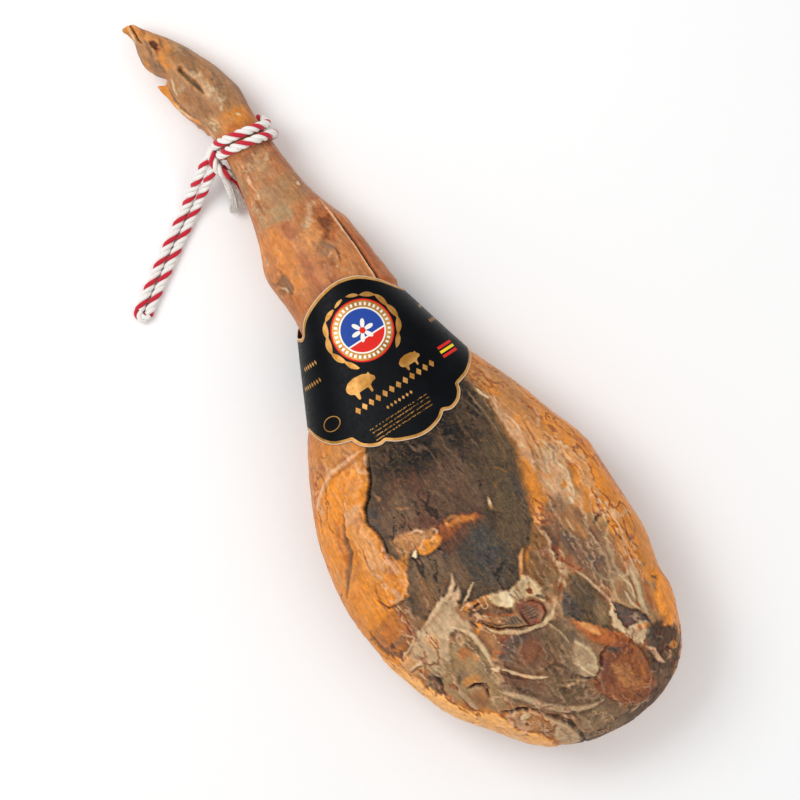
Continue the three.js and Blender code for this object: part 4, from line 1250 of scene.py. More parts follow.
@dataclass
class Painter:
    """Colours and carves the ham, mark by mark, over its plan as the studio's camera sees it.

    The points are the ham's, in metres, and facing is how far each one faces up.
    """

    points: Array
    facing: Array
    studio: "Studio"
    pale: float = 0.2
    pale_lean: float = 0.15
    reach: float = 6.0

    def __post_init__(self) -> None:
        """Starts with skin all over, and works out where each point lies in the plan."""
        self.points = self.points / MM
        self.grain = Grain(7)
        eye = np.array([*self.studio.aim, self.studio.height]) / MM
        nearer = eye[2] / (eye[2] + self.studio.level / MM - self.points[:, 2:])
        self.plan = eye[:2] + (self.points[:, :2] - eye[:2]) * nearer
        self.drift = 2.2 * self.wander(13, 0) + 1.1 * self.wander(4, 60) + 0.5 * self.wander(1.8, 90)
        self.drift[:, 0] += 1.6 * self.grain.at(self.points * [0.25, 1, 1] + 130, 2.6, 2)
        self.specks = ease(0.0, 0.5, self.grain.at(self.points + 440, 2.6, 2))
        self.upper = ease(-0.22, 0.12, self.facing)
        self.colour = np.tile(Tone.SKIN.rgb, (len(self.points), 1))
        self.lean = np.zeros(len(self.points))
        self.rise = np.zeros(len(self.points))

    def wander(self, size: float, shift: float) -> Array:
        """Two noises that push a mark's outline about the plan."""
        return np.column_stack([self.grain.at(self.points + shift + k * 31, size, 2) for k in range(2)])

    def lay_all(self) -> None:
        """Lays the skin, every mark, and the unevenness of the whole surface."""
        x = self.points[:, 0]
        under = 1 - self.upper
        thigh = ease(15, 60, x)
        big = self.grain.at(self.points + 200, 34)
        small = self.grain.at(self.points + 300, 8) + 0.5 * self.grain.at(self.points + 330, 3.6, 2)
        self.tint(Tone.FAT, thigh * self.upper)
        self.mottle((Tone.RUSSET, Tone.SKIN_GOLD, Tone.BLOOM), 22, 0.35, under, 40)
        for mark in LEG_MARKS:
            self.lay(mark)
        self.mottle((Tone.FAT, Tone.RUSSET, Tone.BLOOM), 9, 0.14, self.upper * (1 - thigh), 80)
        self.mottle((Tone.FAT_RED, Tone.FAT_PALE, Tone.FAT_BRIGHT), 20, 0.34, self.upper * thigh, 120)
        for mark in LEAN_MARKS:
            self.lay(mark)
        fat = self.upper * thigh * (1 - self.lean)
        self.mottle((Tone.RUSSET, Tone.FAT_BRIGHT, Tone.ROSE), 6, 0.14, fat, 160, 3.5)
        self.vein(Tone.ROSE, 10, 0.6, fat, 300, 0.4)
        self.vein(Tone.RUSSET, 10, 0.7, fat, 340, -0.7)
        self.vein(Tone.CREAM, 21, 0.4, fat, 360, 0.4)
        self.mottle((Tone.BROWN, Tone.INK, Tone.OLIVE), 13, 0.26, self.lean, 200, 2.5)
        self.mottle((Tone.OCHRE, Tone.INK), 2.2, 0.24, self.lean, 240, 6.0)
        self.vein(Tone.INK, 9, 0.7, self.lean, 380, -0.6)
        self.vein(Tone.BROWN, 15, 0.4, self.lean, 420, 0.3)
        loose = ease(40, 110, x)
        fibres = self.grain.at(self.points * [0.2, 1, 1] + 900, 2.6, 2)
        self.rise += self.upper * (0.9 * big * loose + 0.4 * small * (0.4 + 0.6 * loose) + 0.16 * fibres)
        self.rise += under * (0.7 * big + 0.15 * small)
        self.colour *= (1 + 0.07 * self.grain.at(self.points + 700, 6) + 0.1 * fibres)[:, None]

    def mottle(self, tones: Sequence[Tone], size: float, share: float, where: Array, shift: float,
               stretch: float = 1.6) -> None:
        """Mixes cloudy patches of some tones into part of the surface.

        Args:
            tones: The tones, each with clouds of its own.
            size: The clouds' size in millimetres.
            share: How much of a tone its clouds hold at most.
            where: How much of the clouds each point takes.
            shift: Moves the clouds, so that no two layers are alike.
            stretch: How much longer the clouds are along the leg than across it.
        """
        warped = (self.points + 2.5 * np.column_stack([self.drift, self.drift[:, 0]])) / [stretch, 1, 1]
        for k, tone in enumerate(tones):
            cloud = self.grain.at(warped + shift + 13.7 * k, size)
            self.tint(tone, share * ease(0.05, 0.75, cloud) * where)

    def vein(self, tone: Tone, size: float, share: float, where: Array, shift: float, rise: float) -> None:
        """Draws fine wandering creases, or threads, that come and go.

        Args:
            tone: Their tone.
            size: How far apart they are, in millimetres.
            share: How much of the tone they hold.
            where: How much of them each point takes.
            shift: Moves them, so that no two layers are alike.
            rise: How far they stand up, in millimetres.
        """
        warped = (self.points + 0.9 * np.column_stack([self.drift, self.drift[:, 0]])) / [3.2, 1, 1] + shift
        ridge = np.abs(self.grain.at(warped, size, 2))
        cover = ease(0.17, 0.02, ridge) * ease(-0.1, 0.35, self.grain.at(warped + 50, 2.5 * size, 2)) * where
        self.tint(tone, share * cover)
        self.rise += rise * cover

    def tint(self, tone: Tone, share: Array) -> None:
        """Mixes a tone into the colour."""
        self.colour += (tone.rgb - self.colour) * share[:, None]

    def lay(self, mark: Mark) -> None:
        """Lays one mark where the surface faces up.

        Args:
            mark: The mark. Where it doesn't say how lean it is, a pale one is nearly all fat.
        """
        reach = mark.edge + mark.width + self.reach
        low = np.min(mark.points, axis=0) - reach
        high = np.max(mark.points, axis=0) + reach
        near = np.flatnonzero(np.all((self.plan > low) & (self.plan < high), axis=1) & (self.upper > 0))
        away = mark.distance(self.plan[near] + mark.rag * self.drift[near])
        cover = (1 - ease(-mark.edge / 2, mark.edge / 2, away)) * self.upper[near]
        cover *= 1 - mark.speck + mark.speck * self.specks[near]
        if mark.tone:
            self.colour[near] += (mark.tone.rgb - self.colour[near]) * (mark.share * cover)[:, None]
        lean = mark.lean
        if lean is None and mark.tone and mark.tone.rgb.mean() > self.pale:
            lean = self.pale_lean
        if lean is not None:
            self.lean[near] += (lean - self.lean[near]) * mark.share * cover
        self.rise[near] += mark.rise * cover


@dataclass(frozen=True)
class CuredMeat:
    """The finish of the ham: dry skin and oily fat, and lean meat under a dusty bloom."""

    fat_roughness: float = 0.42
    lean_roughness: float = 0.66
    pores: float = 0.45 * MM
    wrinkles: float = 1.2 * MM
    oil: str = "C9622A"
    bloom: str = "948574"

    def make(self) -> bpy.types.Material:
        """Builds the material.

        Returns:
            The material.
        """
        graph = Graph("cured_meat", IOR=1.45, Specular_IOR_Level=0.32)
        tint, lean = graph.attribute("tint", "Color"), graph.attribute("lean")
        cloud, blotch = graph.noise(9 * MM, 5), graph.noise(2.6 * MM, 5)
        speck, fibre = graph.noise(0.9 * MM, 2), graph.noise(1.3 * MM, 4, (6, 1, 1))
        light = graph.math("ADD", graph.remap(cloud, 0.25, 0.75, 0.90, 1.1),
                           graph.remap(blotch, 0.25, 0.75, -0.10, 0.10))
        streak = graph.times(graph.remap(fibre, 0.32, 0.68, -1, 1), graph.remap(lean, 0, 1, 0.07, 0.2))
        light = graph.math("ADD", light, streak)
        dark_specks = graph.times(graph.remap(speck, 0.3, 0.6, 0.34, 0), lean)
        light = graph.math("SUBTRACT", light, dark_specks)
        grey = graph.add("CombineColor", {0: light, 1: light, 2: light}).outputs[0]
        colour = graph.mix(1.0, tint, grey, "MULTIPLY")
        warm = graph.times(graph.remap(blotch, 0.5, 0.72, 0, 0.20), graph.math("SUBTRACT", 1.0, lean))
        colour = graph.mix(warm, colour, linear(self.oil))
        dust = graph.times(graph.remap(graph.noise(1.6 * MM, 6), 0.52, 0.75, 0, 0.08), lean)
        colour = graph.mix(dust, colour, linear(self.bloom))
        rough = graph.math("ADD", graph.remap(lean, 0, 1, self.fat_roughness, self.lean_roughness),
                           graph.remap(blotch, 0.3, 0.7, -0.1, 0.12))
        ripple = graph.bump(graph.noise(5 * MM, 4), self.wrinkles)
        normal = graph.bump(graph.noise(1.1 * MM, 4), self.pores, ripple)
        return graph.dress(Base_Color=colour, Roughness=rough, Normal=normal)


# --- The collar ---------------------------------------------------------------------------------------


@dataclass(frozen=True)
class Oval:
    """A section of the collar's cone, in millimetres of the row frame."""

    x: float
    back: float
    front: float
    top: float
    under: float


@dataclass
class Collar:
    """The card collar: a lobed cone of printed card round the shank and the thigh."""

    node: str = "collar"
    neck: Oval = Oval(-91, 53.6, -24.0, 91.6, 8.3)
    hem: Oval = Oval(69, 95.8, -104.0, 119.8, -2.6)
    squareness: float = 2.35
    skin_squareness: float = 2.05
    middle: float = 0.48
    clear: float = 0.3
    card: float = 0.6
    columns: int = 460
    rows: int = 118
    arch: tuple[Point, ...] = (
        (-52, 64), (-57, 60.5), (-63, 56.5), (-69, 52), (-76, 45), (-82, 37), (-86, 27), (-87.6, 16),
        (-86.5, 5), (-84, -5), (-80, -15), (-75, -23), (-69, -28.5), (-64.5, -31.5), (-62.2, -34.5),
    )
    arch_under: tuple[Point, ...] = (
        (182, -66), (192, -71), (205, -74), (235, -76), (270, -76), (315, -72), (340, -61), (354, -52),
    )
    lobes: tuple[tuple[Point, ...], ...] = (
        ((26, 85.4), (32, 83.4), (37, 80), (41, 75.4), (43.6, 71), (45.5, 65), (47, 59.4)),
        ((47, 59.4), (51, 58.8), (55, 56.5), (59, 52.6), (61.6, 47), (62, 41.5), (59.6, 36)),
        ((59.6, 36), (64, 30), (66.6, 23), (68, 15), (67.2, 6), (64.4, -3), (60, -13), (54.4, -21)),
        ((54.4, -21), (55, -26), (53.6, -31), (51, -36), (47, -41), (42.5, -44), (38, -46)),
        ((38, -46), (36, -53), (33, -60), (29, -65), (23, -69.4), (17, -72), (11, -73.4)),
    )
    lobes_under: tuple[Point, ...] = (
        (190, 6), (205, 1), (235, -1), (270, -1), (315, 1), (342, 8), (354, 19),
    )
    roundel: Point = (-38, 15)
    pigs: tuple[tuple[Point, float], ...] = (((0.6, -13), 1.0), ((6, 35), 0.72))
    seal: Point = (16.5, -53)
    seal_radii: Point = (6.4, 9.2)
    bars: Point = (15.5, 69)
    blank: float = 99.0

    def build(self) -> Piece:
        """Rolls the card into its cone, prints it and gives it thickness.

        Returns:
            The collar.
        """
        turns = self.column_angles()
        neck, hem = self.neck_edge(turns), self.hem_edge(turns)
        share = np.linspace(0, 1, self.rows)[:, None]
        x = neck + (hem - neck) * share
        angle = np.broadcast_to(turns, x.shape)
        lift = self.clear + self.card + 0.3 * np.sin(angle * 3 + x / 30) ** 2
        points = self.cone_point(x, angle, lift)
        flat_v = self.flat_height(x, angle)
        to_neck = self.edge_distance(x, flat_v, neck, turns)
        rim = np.minimum(to_neck, self.edge_distance(x, flat_v, hem, turns))
        body = new_object("collar_card", points.reshape(-1, 3) * MM, self.faces())
        mesh = body.data
        store(mesh, "rim", rim.ravel())
        self.print_on(mesh, np.column_stack([x.ravel(), flat_v.ravel()]), points.reshape(-1, 3))
        thick = body.modifiers.new("card", "SOLIDIFY")
        thick.thickness, thick.offset = self.card * MM, -1
        thick.material_offset, thick.material_offset_rim = 1, 2
        for finish in (PrintedCard(), BareCard("card_back", "8A6B4A"), BareCard("card_edge", "E9D9C4")):
            mesh.materials.append(finish.make())
        return finish_piece(body, "card", self.node)

    def section(self, x: Array) -> tuple[Array, Array, Array, Array, Array]:
        """Works out the cone's section at places along the leg.

        Args:
            x: The places, in millimetres.

        Returns:
            The section's middle, half width, level, height over the level and depth under it.
        """
        share = (x - self.neck.x) / (self.hem.x - self.neck.x)
        back, front, top, under = (
            getattr(self.neck, key) + (getattr(self.hem, key) - getattr(self.neck, key)) * share
            for key in ("back", "front", "top", "under")
        )
        level = under + (top - under) * self.middle
        return (back + front) / 2, (back - front) / 2, level, top - level, level - under

    def cone_point(self, x: Array, angle: Array, lift: Array) -> Array:
        """Finds points of the cone.

        Args:
            x: Their places along the leg, in millimetres.
            angle: Their angles round the leg.
            lift: How far they are lifted off it.

        Returns:
            The points, in millimetres.
        """
        centre, half, level, up, down = self.section(x)
        rise, run = np.sin(angle), np.cos(angle)
        power = np.where(rise > 0, 2 / self.squareness, 2 / self.skin_squareness)
        y = centre + (half + lift) * np.sign(run) * np.abs(run) ** power
        z = level + (np.where(rise > 0, up, down) + lift) * np.sign(rise) * np.abs(rise) ** power
        return np.stack([x, y, z], axis=-1)

    def column_angles(self) -> Array:
        """Finds angles round the leg whose points lie evenly along the hem.

        Returns:
            An angle for each of the card's columns.
        """
        fine = np.linspace(0, math.tau, 2881)
        ring = self.cone_point(np.full(fine.shape, self.hem.x - 20), fine, np.zeros(fine.shape))
        run = run_along(ring)
        return np.interp(np.arange(self.columns) / self.columns * run[-1], run, fine)

    def turn_at(self, points: Sequence[Point]) -> Array:
        """Finds the angles round the leg of points on the card's upper side.

        Args:
            points: The points of the plan.

        Returns:
            Their angles, in degrees.
        """
        x, y = np.array(points).T
        centre, half, *_ = self.section(x)
        share = np.clip((y - centre) / (half + self.clear + self.card), -1, 1)
        return np.degrees(np.arccos(np.sign(share) * np.abs(share) ** (self.squareness / 2)))

    def edge(self, turns: Array, above: Array, under: Sequence[Point]) -> Array:
        """Where an edge lies along the leg, at angles round it.

        Args:
            turns: The angles.
            above: The edge's points in the plan on the upper side, from the back of the leg to its front.
            under: The edge's points underneath, as angle in degrees and place along the leg.

        Returns:
            The place along the leg at each angle.
        """
        degrees = np.maximum.accumulate(self.turn_at(above) + 1e-6 * np.arange(len(above)))
        below = np.array(under)
        angle = np.concatenate([below[-1:, 0] - 360, degrees, below[:, 0], degrees[:1] + 360])
        place = np.concatenate([below[-1:, 1], above[:, 0], below[:, 1], above[:1, 0]])
        return np.interp(np.degrees(turns), angle, place)

    def neck_edge(self, turns: Array) -> Array:
        """Where the arched neck edge lies along the leg, at angles round it."""
        return self.edge(turns, spline(self.arch, 8), self.arch_under)

    def hem_edge(self, turns: Array) -> Array:
        """Where the lobed hem lies along the leg, at angles round it."""
        return self.edge(turns, np.vstack([spline(lobe, 8) for lobe in self.lobes]), self.lobes_under)

    def press(self, points: Array) -> Array:
        """Presses points of the ham in, so that they stay under the card.

        Args:
            points: Points of the ham, in metres.

        Returns:
            The points, the ones near the card moved towards the middle of the leg.
        """
        x, y, z = (points / MM).T
        centre, half, level, up, down = self.section(np.clip(x, self.neck.x, self.hem.x))
        run, rise = (y - centre) / half, (z - level) / np.where(z > level, up, down)
        power = np.where(z > level, self.squareness, self.skin_squareness)
        reach = (np.abs(run) ** power + np.abs(rise) ** power) ** (1 / power)
        up, out = (np.sign(side) * np.abs(side) ** (power / 2) for side in (rise, run))
        turns = np.arctan2(up, out)
        turns = turns % math.tau
        beyond = np.maximum(self.neck_edge(turns) - x, x - self.hem_edge(turns))
        limit = 0.995 + 0.35 * ease(1, 26, beyond)
        share = np.where(reach > limit, limit / np.maximum(reach, 1e-6), 1.0)
        held = np.column_stack([x, centre + (y - centre) * share, level + (z - level) * share])
        return held * MM

    def flat_height(self, x: Array, angle: Array) -> Array:
        """Measures how far round the card its points lie.

        Args:
            x: The points' places along the leg, in millimetres.
            angle: Their angles round the leg.

        Returns:
            The distances in millimetres along the card, equal to y on its level top.
        """
        fine = np.linspace(-math.pi / 2, math.pi * 1.5, 1441)
        stations = np.linspace(self.neck.x, self.hem.x, 25)
        runs = []
        for station in stations:
            ring = self.cone_point(np.full(fine.shape, station), fine, np.zeros(fine.shape))
            run = run_along(ring)
            top = np.searchsorted(fine, math.pi / 2)
            runs.append(ring[top, 1] + run[top] - run)
        wrapped = np.where(angle > math.pi * 1.5, angle - math.tau, angle)
        table = np.array([np.interp(wrapped.ravel(), fine, run) for run in runs])
        place = np.clip((x.ravel() - stations[0]) / (stations[1] - stations[0]), 0, len(stations) - 1.001)
        row = place.astype(int)
        share = place - row
        column = np.arange(table.shape[1])
        return (table[row, column] * (1 - share) + table[row + 1, column] * share).reshape(x.shape)

    def edge_distance(self, x: Array, flat_v: Array, edge: Array, turns: Array) -> Array:
        """Measures how far points of the card are from one of its edges.

        Args:
            x: The points' places along the leg.
            flat_v: How far round the card they lie.
            edge: Where the edge lies along the leg, at each column.
            turns: The columns' angles round the leg.

        Returns:
            The distances in millimetres, measured on the card.
        """
        edge_v = self.flat_height(edge[None, :], turns[None, :])[0]
        count = len(turns)
        result = np.full(x.shape, self.blank)
        for shift in range(-14, 15):
            other = np.roll(np.arange(count), shift)
            after = np.roll(other, -1)
            start = np.column_stack([edge[other], edge_v[other]])
            span = np.column_stack([edge[after], edge_v[after]]) - start
            span[np.abs(span[:, 1]) > 50] = 0
            offset = np.stack([x - start[:, 0], flat_v - start[:, 1]], axis=-1)
            along = np.clip((offset * span).sum(-1) / np.maximum((span**2).sum(-1), 1e-9), 0, 1)
            result = np.minimum(result, np.linalg.norm(offset - along[..., None] * span, axis=-1))
        return result

    def faces(self) -> list[Face]:
        """Joins the card's points round the leg.

        Returns:
            Its faces.
        """
        cols = self.columns
        return [
            (row * cols + i, row * cols + (i + 1) % cols,
             (row + 1) * cols + (i + 1) % cols, (row + 1) * cols + i)
            for row in range(self.rows - 1)
            for i in range(cols)
        ]

    def print_on(self, mesh: bpy.types.Mesh, lay: Array, points: Array) -> None:
        """Stores where the printed ornaments are: the roundel, leaves, two pigs, an oval and three bars.

        Args:
            mesh: The card's mesh.
            lay: Where its points lie on the flat card.
            points: Where they lie in space, in millimetres.
        """
        top = points[:, 2] > 60

        def on_card(place: Point) -> Array:
            """The place on the flat card over a point of the plan."""
            return lay[np.argmin(np.where(top, np.linalg.norm(points[:, :2] - place, axis=1), np.inf))]

        centre = on_card(self.roundel)
        gold = np.full(len(lay), self.blank)
        pigs = [Ornament.pig(on_card(place), size) for place, size in self.pigs]
        for shape in (*Ornament.wreath(centre), *pigs):
            near = np.linalg.norm(lay - shape.mean(axis=0), axis=1) < 30
            gold[near] = np.minimum(gold[near], outline_distance(lay[near], shape))
        away, bars = lay - centre, lay - on_card(self.bars)
        store(mesh, "ring", np.linalg.norm(away, axis=1))
        store(mesh, "across", away[:, 0])
        store(mesh, "beside", away[:, 1])
        store(mesh, "gold", gold)
        store(mesh, "oval", np.linalg.norm((lay - on_card(self.seal)) / self.seal_radii, axis=1))
        store(mesh, "bar_x", bars[:, 0])
        store(mesh, "bar_y", bars[:, 1])


class Ornament:
    """Outlines of the plain ornaments printed in gold, in millimetres on the flat card."""

    @staticmethod
    def wreath(centre: Array) -> list[Array]:
        """Draws an open wreath of leaves round the roundel, longest beside it.

        Args:
            centre: The roundel's middle.

        Returns:
            The leaves' outlines.
        """
        leaves = []
        along = np.linspace(-1, 1, 9)
        for k, angle in enumerate(np.radians(np.linspace(42, 311, 12))):
            wide = abs(math.sin(angle))
            outer = (1.5 + 2.3 * wide) * (1 - along**2)
            inner = -(0.9 + 0.9 * wide) * (1 - along**2)
            length = np.concatenate([along, along[-2:0:-1]]) * (5.4 + 3.4 * wide)
            leaf = np.column_stack([length, np.concatenate([inner, outer[-2:0:-1]])])
            lean = angle + math.pi / 2 + 0.16 * (-1) ** k
            spin = np.array([[math.cos(lean), math.sin(lean)], [math.sin(lean), -math.cos(lean)]])
            leaves.append(leaf @ spin + centre + 31.6 * np.array([math.cos(angle), math.sin(angle)]))
        return leaves

    @staticmethod
    def pig(place: Array, size: float) -> Array:
        """Draws a plain pig seen from the side, its back towards the neck of the collar.

        Args:
            place: Its middle.
            size: Its size, 1 for the larger pig.

        Returns:
            Its outline.
        """
        side = [
            (-13, -3), (-9, -6.5), (-2, -8), (6, -7), (10, -5), (12, -6), (12.5, -3), (15, 0), (14.5, 3),
            (11, 3.2), (8, 5), (7.5, 11), (5.5, 11), (5, 5.5), (-4, 5.5), (-5.5, 11), (-7.5, 11),
            (-8.5, 5), (-12, 3), (-13.5, 0),
        ]
        return np.array(side, float)[:, ::-1] * size + place


@dataclass(frozen=True)
class PrintedCard:
    """The finish of the collar's outer face: near-black satin print with gold and a few colours."""

    ground: str = "020306"
    ground_light: str = "070A0F"
    gold: str = "A06C28"
    pale: str = "CF9A56"
    white: str = "F2EDE2"
    blue: str = "27489C"
    red: str = "DC2A22"
    yellow: str = "F2D230"
    paper: str = "E3C3A2"
    disc: float = 19.3
    ring_inner: float = 20.4
    ring_outer: float = 26.8
    rim_width: float = 3.0
    petals: float = 10.5
    large_row: tuple[float, ...] = (57.5, -45, 39, 7, 2.6, 3.6)
    small_row: tuple[float, ...] = (69.0, -20, 8, 4, 1.3, 1.8)
    side_rows: tuple[tuple[float, ...], ...] = ((9, 66, 84), (25, 62, 84), (1, -72, -50), (16, -84, -56))
    rules: tuple[float, ...] = (77, 80.5, 84, 87.5)

    def make(self) -> bpy.types.Material:
        """Builds the material.

        Returns:
            The material.
        """
        graph = Graph("printed_card", IOR=1.5, Specular_IOR_Level=0.09)
        gold = self.gold_print(graph)
        clouds = graph.remap(graph.noise(20 * MM, 4), 0.3, 0.7)
        sheen = graph.remap(graph.noise(14 * MM, 3), 0.3, 0.7)
        colour = graph.mix(clouds, linear(self.ground), linear(self.ground_light))
        colour = graph.mix(gold, colour, graph.mix(sheen, linear(self.gold), linear(self.pale)))
        for cover, tone in self.coloured_prints(graph):
            colour = graph.mix(cover, colour, linear(tone))
        colour = graph.mix(graph.remap(graph.attribute("rim"), 0.95, 0.7), colour, linear(self.paper))
        handling = graph.remap(graph.noise(3 * MM), 0.3, 0.7, -0.05, 0.08)
        rough = graph.math("ADD", graph.remap(gold, 0, 1, 0.42, 0.34), handling)
        waves = graph.bump(graph.noise(26 * MM, 2), 0.5 * MM)
        normal = graph.bump(graph.noise(0.5 * MM, 3), 0.03 * MM, waves)
        metal = graph.times(gold, 0.3)
        return graph.dress(Base_Color=colour, Roughness=rough, Metallic=metal, Normal=normal)

    def gold_print(self, graph: Graph) -> Socket:
        """Finds where the card is gold: ring, oval, rim, leaves, pigs, rows of lozenges and broken rules.

        Args:
            graph: The card's material.

        Returns:
            One where it is gold.
        """
        across, beside, rim = (graph.attribute(name) for name in ("across", "beside", "rim"))
        dashes = graph.remap(graph.noise(1.5 * MM, 2), 0.46, 0.54, 0, 0.7)
        covers = [
            self.band(graph, graph.attribute("ring"), self.ring_inner, self.ring_outer),
            self.band(graph, graph.attribute("oval"), 0.9, 1.0, 0.03),
            self.band(graph, rim, 0.9, self.rim_width),
            self.lozenges(graph, *self.large_row),
            self.lozenges(graph, *self.small_row),
            *(self.lozenges(graph, *row, 3.6, 1.2, 2.4) for row in self.side_rows),
        ]
        for place in self.rules:
            rule = graph.times(self.band(graph, across, place, place + 1.1), dashes)
            covers.append(graph.times(rule, self.band(graph, beside, -42, 27 - place / 8)))
        gold = graph.remap(graph.attribute("gold"), 0.12, -0.12)
        for cover in covers:
            gold = graph.math("MAXIMUM", gold, cover)
        return gold

    def coloured_prints(self, graph: Graph) -> list[tuple[Socket, str]]:
        """Finds where the card is coloured: the roundel with its rosette and beads, and the three bars.

        Args:
            graph: The card's material.

        Returns:
            Where each colour is, and its screen colour, in the order they are printed.
        """
        ring, across = graph.attribute("ring"), graph.attribute("across")
        disc = self.band(graph, ring, 0, self.disc)
        petals = graph.times(graph.math("ABSOLUTE", self.wave(graph, 3.0)), self.petals)
        beads = graph.remap(self.wave(graph, 36.0), -0.1, 0.3)
        return [
            (self.band(graph, ring, 26.6, 28.0), self.red),
            (self.band(graph, ring, 19.2, 20.6), self.white),
            (disc, self.blue),
            (graph.times(graph.remap(across, 7.4, 7.8), disc), self.red),
            (graph.times(self.band(graph, across, 6.2, 7.6), disc), self.white),
            (graph.remap(graph.math("SUBTRACT", ring, petals), 0.2, -0.2), self.white),
            (self.band(graph, ring, 0, 2.8), self.red),
            (graph.times(self.band(graph, ring, 22.2, 25.0), beads), self.white),
            (self.bar(graph, -5.5), self.red),
            (self.bar(graph, -1.2), self.yellow),
            (self.bar(graph, 3.2), self.red),
        ]

    @staticmethod
    def band(graph: Graph, value: object, low: float, high: float, soft: float = 0.15) -> Socket:
        """One between two values, and nothing outside them."""
        above = graph.remap(value, low - soft, low + soft)
        return graph.times(above, graph.remap(value, high + soft, high - soft))

    @staticmethod
    def wave(graph: Graph, count: float) -> Socket:
        """A wave that runs round the roundel a number of times."""
        turn = graph.math("ARCTAN2", graph.attribute("beside"), graph.attribute("across"))
        return graph.math("SINE", graph.times(turn, count))

    def bar(self, graph: Graph, offset: float) -> Socket:
        """One of the three coloured bars."""
        length = self.band(graph, graph.attribute("bar_y"), -9.5, 9.5)
        return graph.times(self.band(graph, graph.attribute("bar_x"), offset, offset + 2.6), length)

    def lozenges(self, graph: Graph, place: float, low: float, high: float, pitch: float, half: float,
                 tall: float) -> Socket:
        """Prints a row of lozenges round the card.

        Args:
            graph: The card's material.
            place: Where the row lies along the leg, from the roundel's middle.
            low: Where it starts.
            high: Where it ends.
            pitch: How far apart the lozenges are.
            half: Half of a lozenge's width.
            tall: Half of its height.

        Returns:
            One where there is a lozenge.
        """
        across, beside = graph.attribute("across"), graph.attribute("beside")
        step = graph.math("FRACT", graph.math("DIVIDE", graph.math("SUBTRACT", beside, low), pitch))
        away = graph.times(graph.math("ABSOLUTE", graph.math("SUBTRACT", step, 0.5)), pitch / half)
        off = graph.math("DIVIDE", graph.math("ABSOLUTE", graph.math("SUBTRACT", across, place)), tall)
        shape = graph.remap(graph.math("ADD", away, off), 1.08, 0.92)
        return graph.times(shape, self.band(graph, beside, low, high))


@dataclass(frozen=True)
class BareCard:
    """The finish of the card where it isn't printed."""

    name: str
    tone: str

    def make(self) -> bpy.types.Material:
        """Builds the material.

        Returns:
            The material.
        """
        graph = Graph(self.name, Roughness=0.8)
        tone = linear(self.tone)
        colour = graph.mix(graph.remap(graph.noise(2 * MM, 4), 0.3, 0.7), tone, tone * 0.8)
        return graph.dress(Base_Color=colour, Normal=graph.bump(graph.noise(0.4 * MM, 3), 0.05 * MM))


# --- The rope -----------------------------------------------------------------------------------------


class Yarn(Enum):
    """Colours of the rope's strands."""

    WHITE = "FAF7F2"
    RED = "CE0F2D"


@dataclass(frozen=True)
class Cotton:
    """The finish of a strand: spun cotton, with fine yarns that wind the other way."""

    yarn: Yarn
    yarns: int = 7
    wind: float = 900.0
    dirt: str = "C9A77E"

    @cache
    def make(self) -> bpy.types.Material:
        """Builds the material, once for each yarn.

        Returns:
            The material.
        """
        name = f"cotton_{self.yarn.name.lower()}"
        graph = Graph(name, Roughness=0.92, Sheen_Weight=0.3, Sheen_Roughness=0.5)
        tone = linear(self.yarn.value)
        parts = graph.add("SeparateXYZ", {0: graph.add("UVMap", {}, uv_map="strand").outputs["UV"]}).outputs
        around = graph.times(parts[0], math.tau * self.yarns)
        turn = graph.math("ADD", around, graph.times(parts[1], self.wind))
        twist = graph.remap(graph.math("SINE", turn), -1, 1, 0, 0.5)
        shade = graph.math("ADD", twist, graph.times(graph.noise(0.7 * MM, 5), 0.5))
        colour = graph.mix(graph.remap(shade, 0.2, 0.7), tone * 0.8, tone)
        soil = graph.remap(graph.noise(7 * MM, 4), 0.55, 0.8, 0, 0.2)
        colour = graph.mix(soil, colour, linear(self.dirt) if self.yarn is Yarn.WHITE else tone * 0.7)
        return graph.dress(Base_Color=colour, Normal=graph.bump(shade, 0.34 * MM))


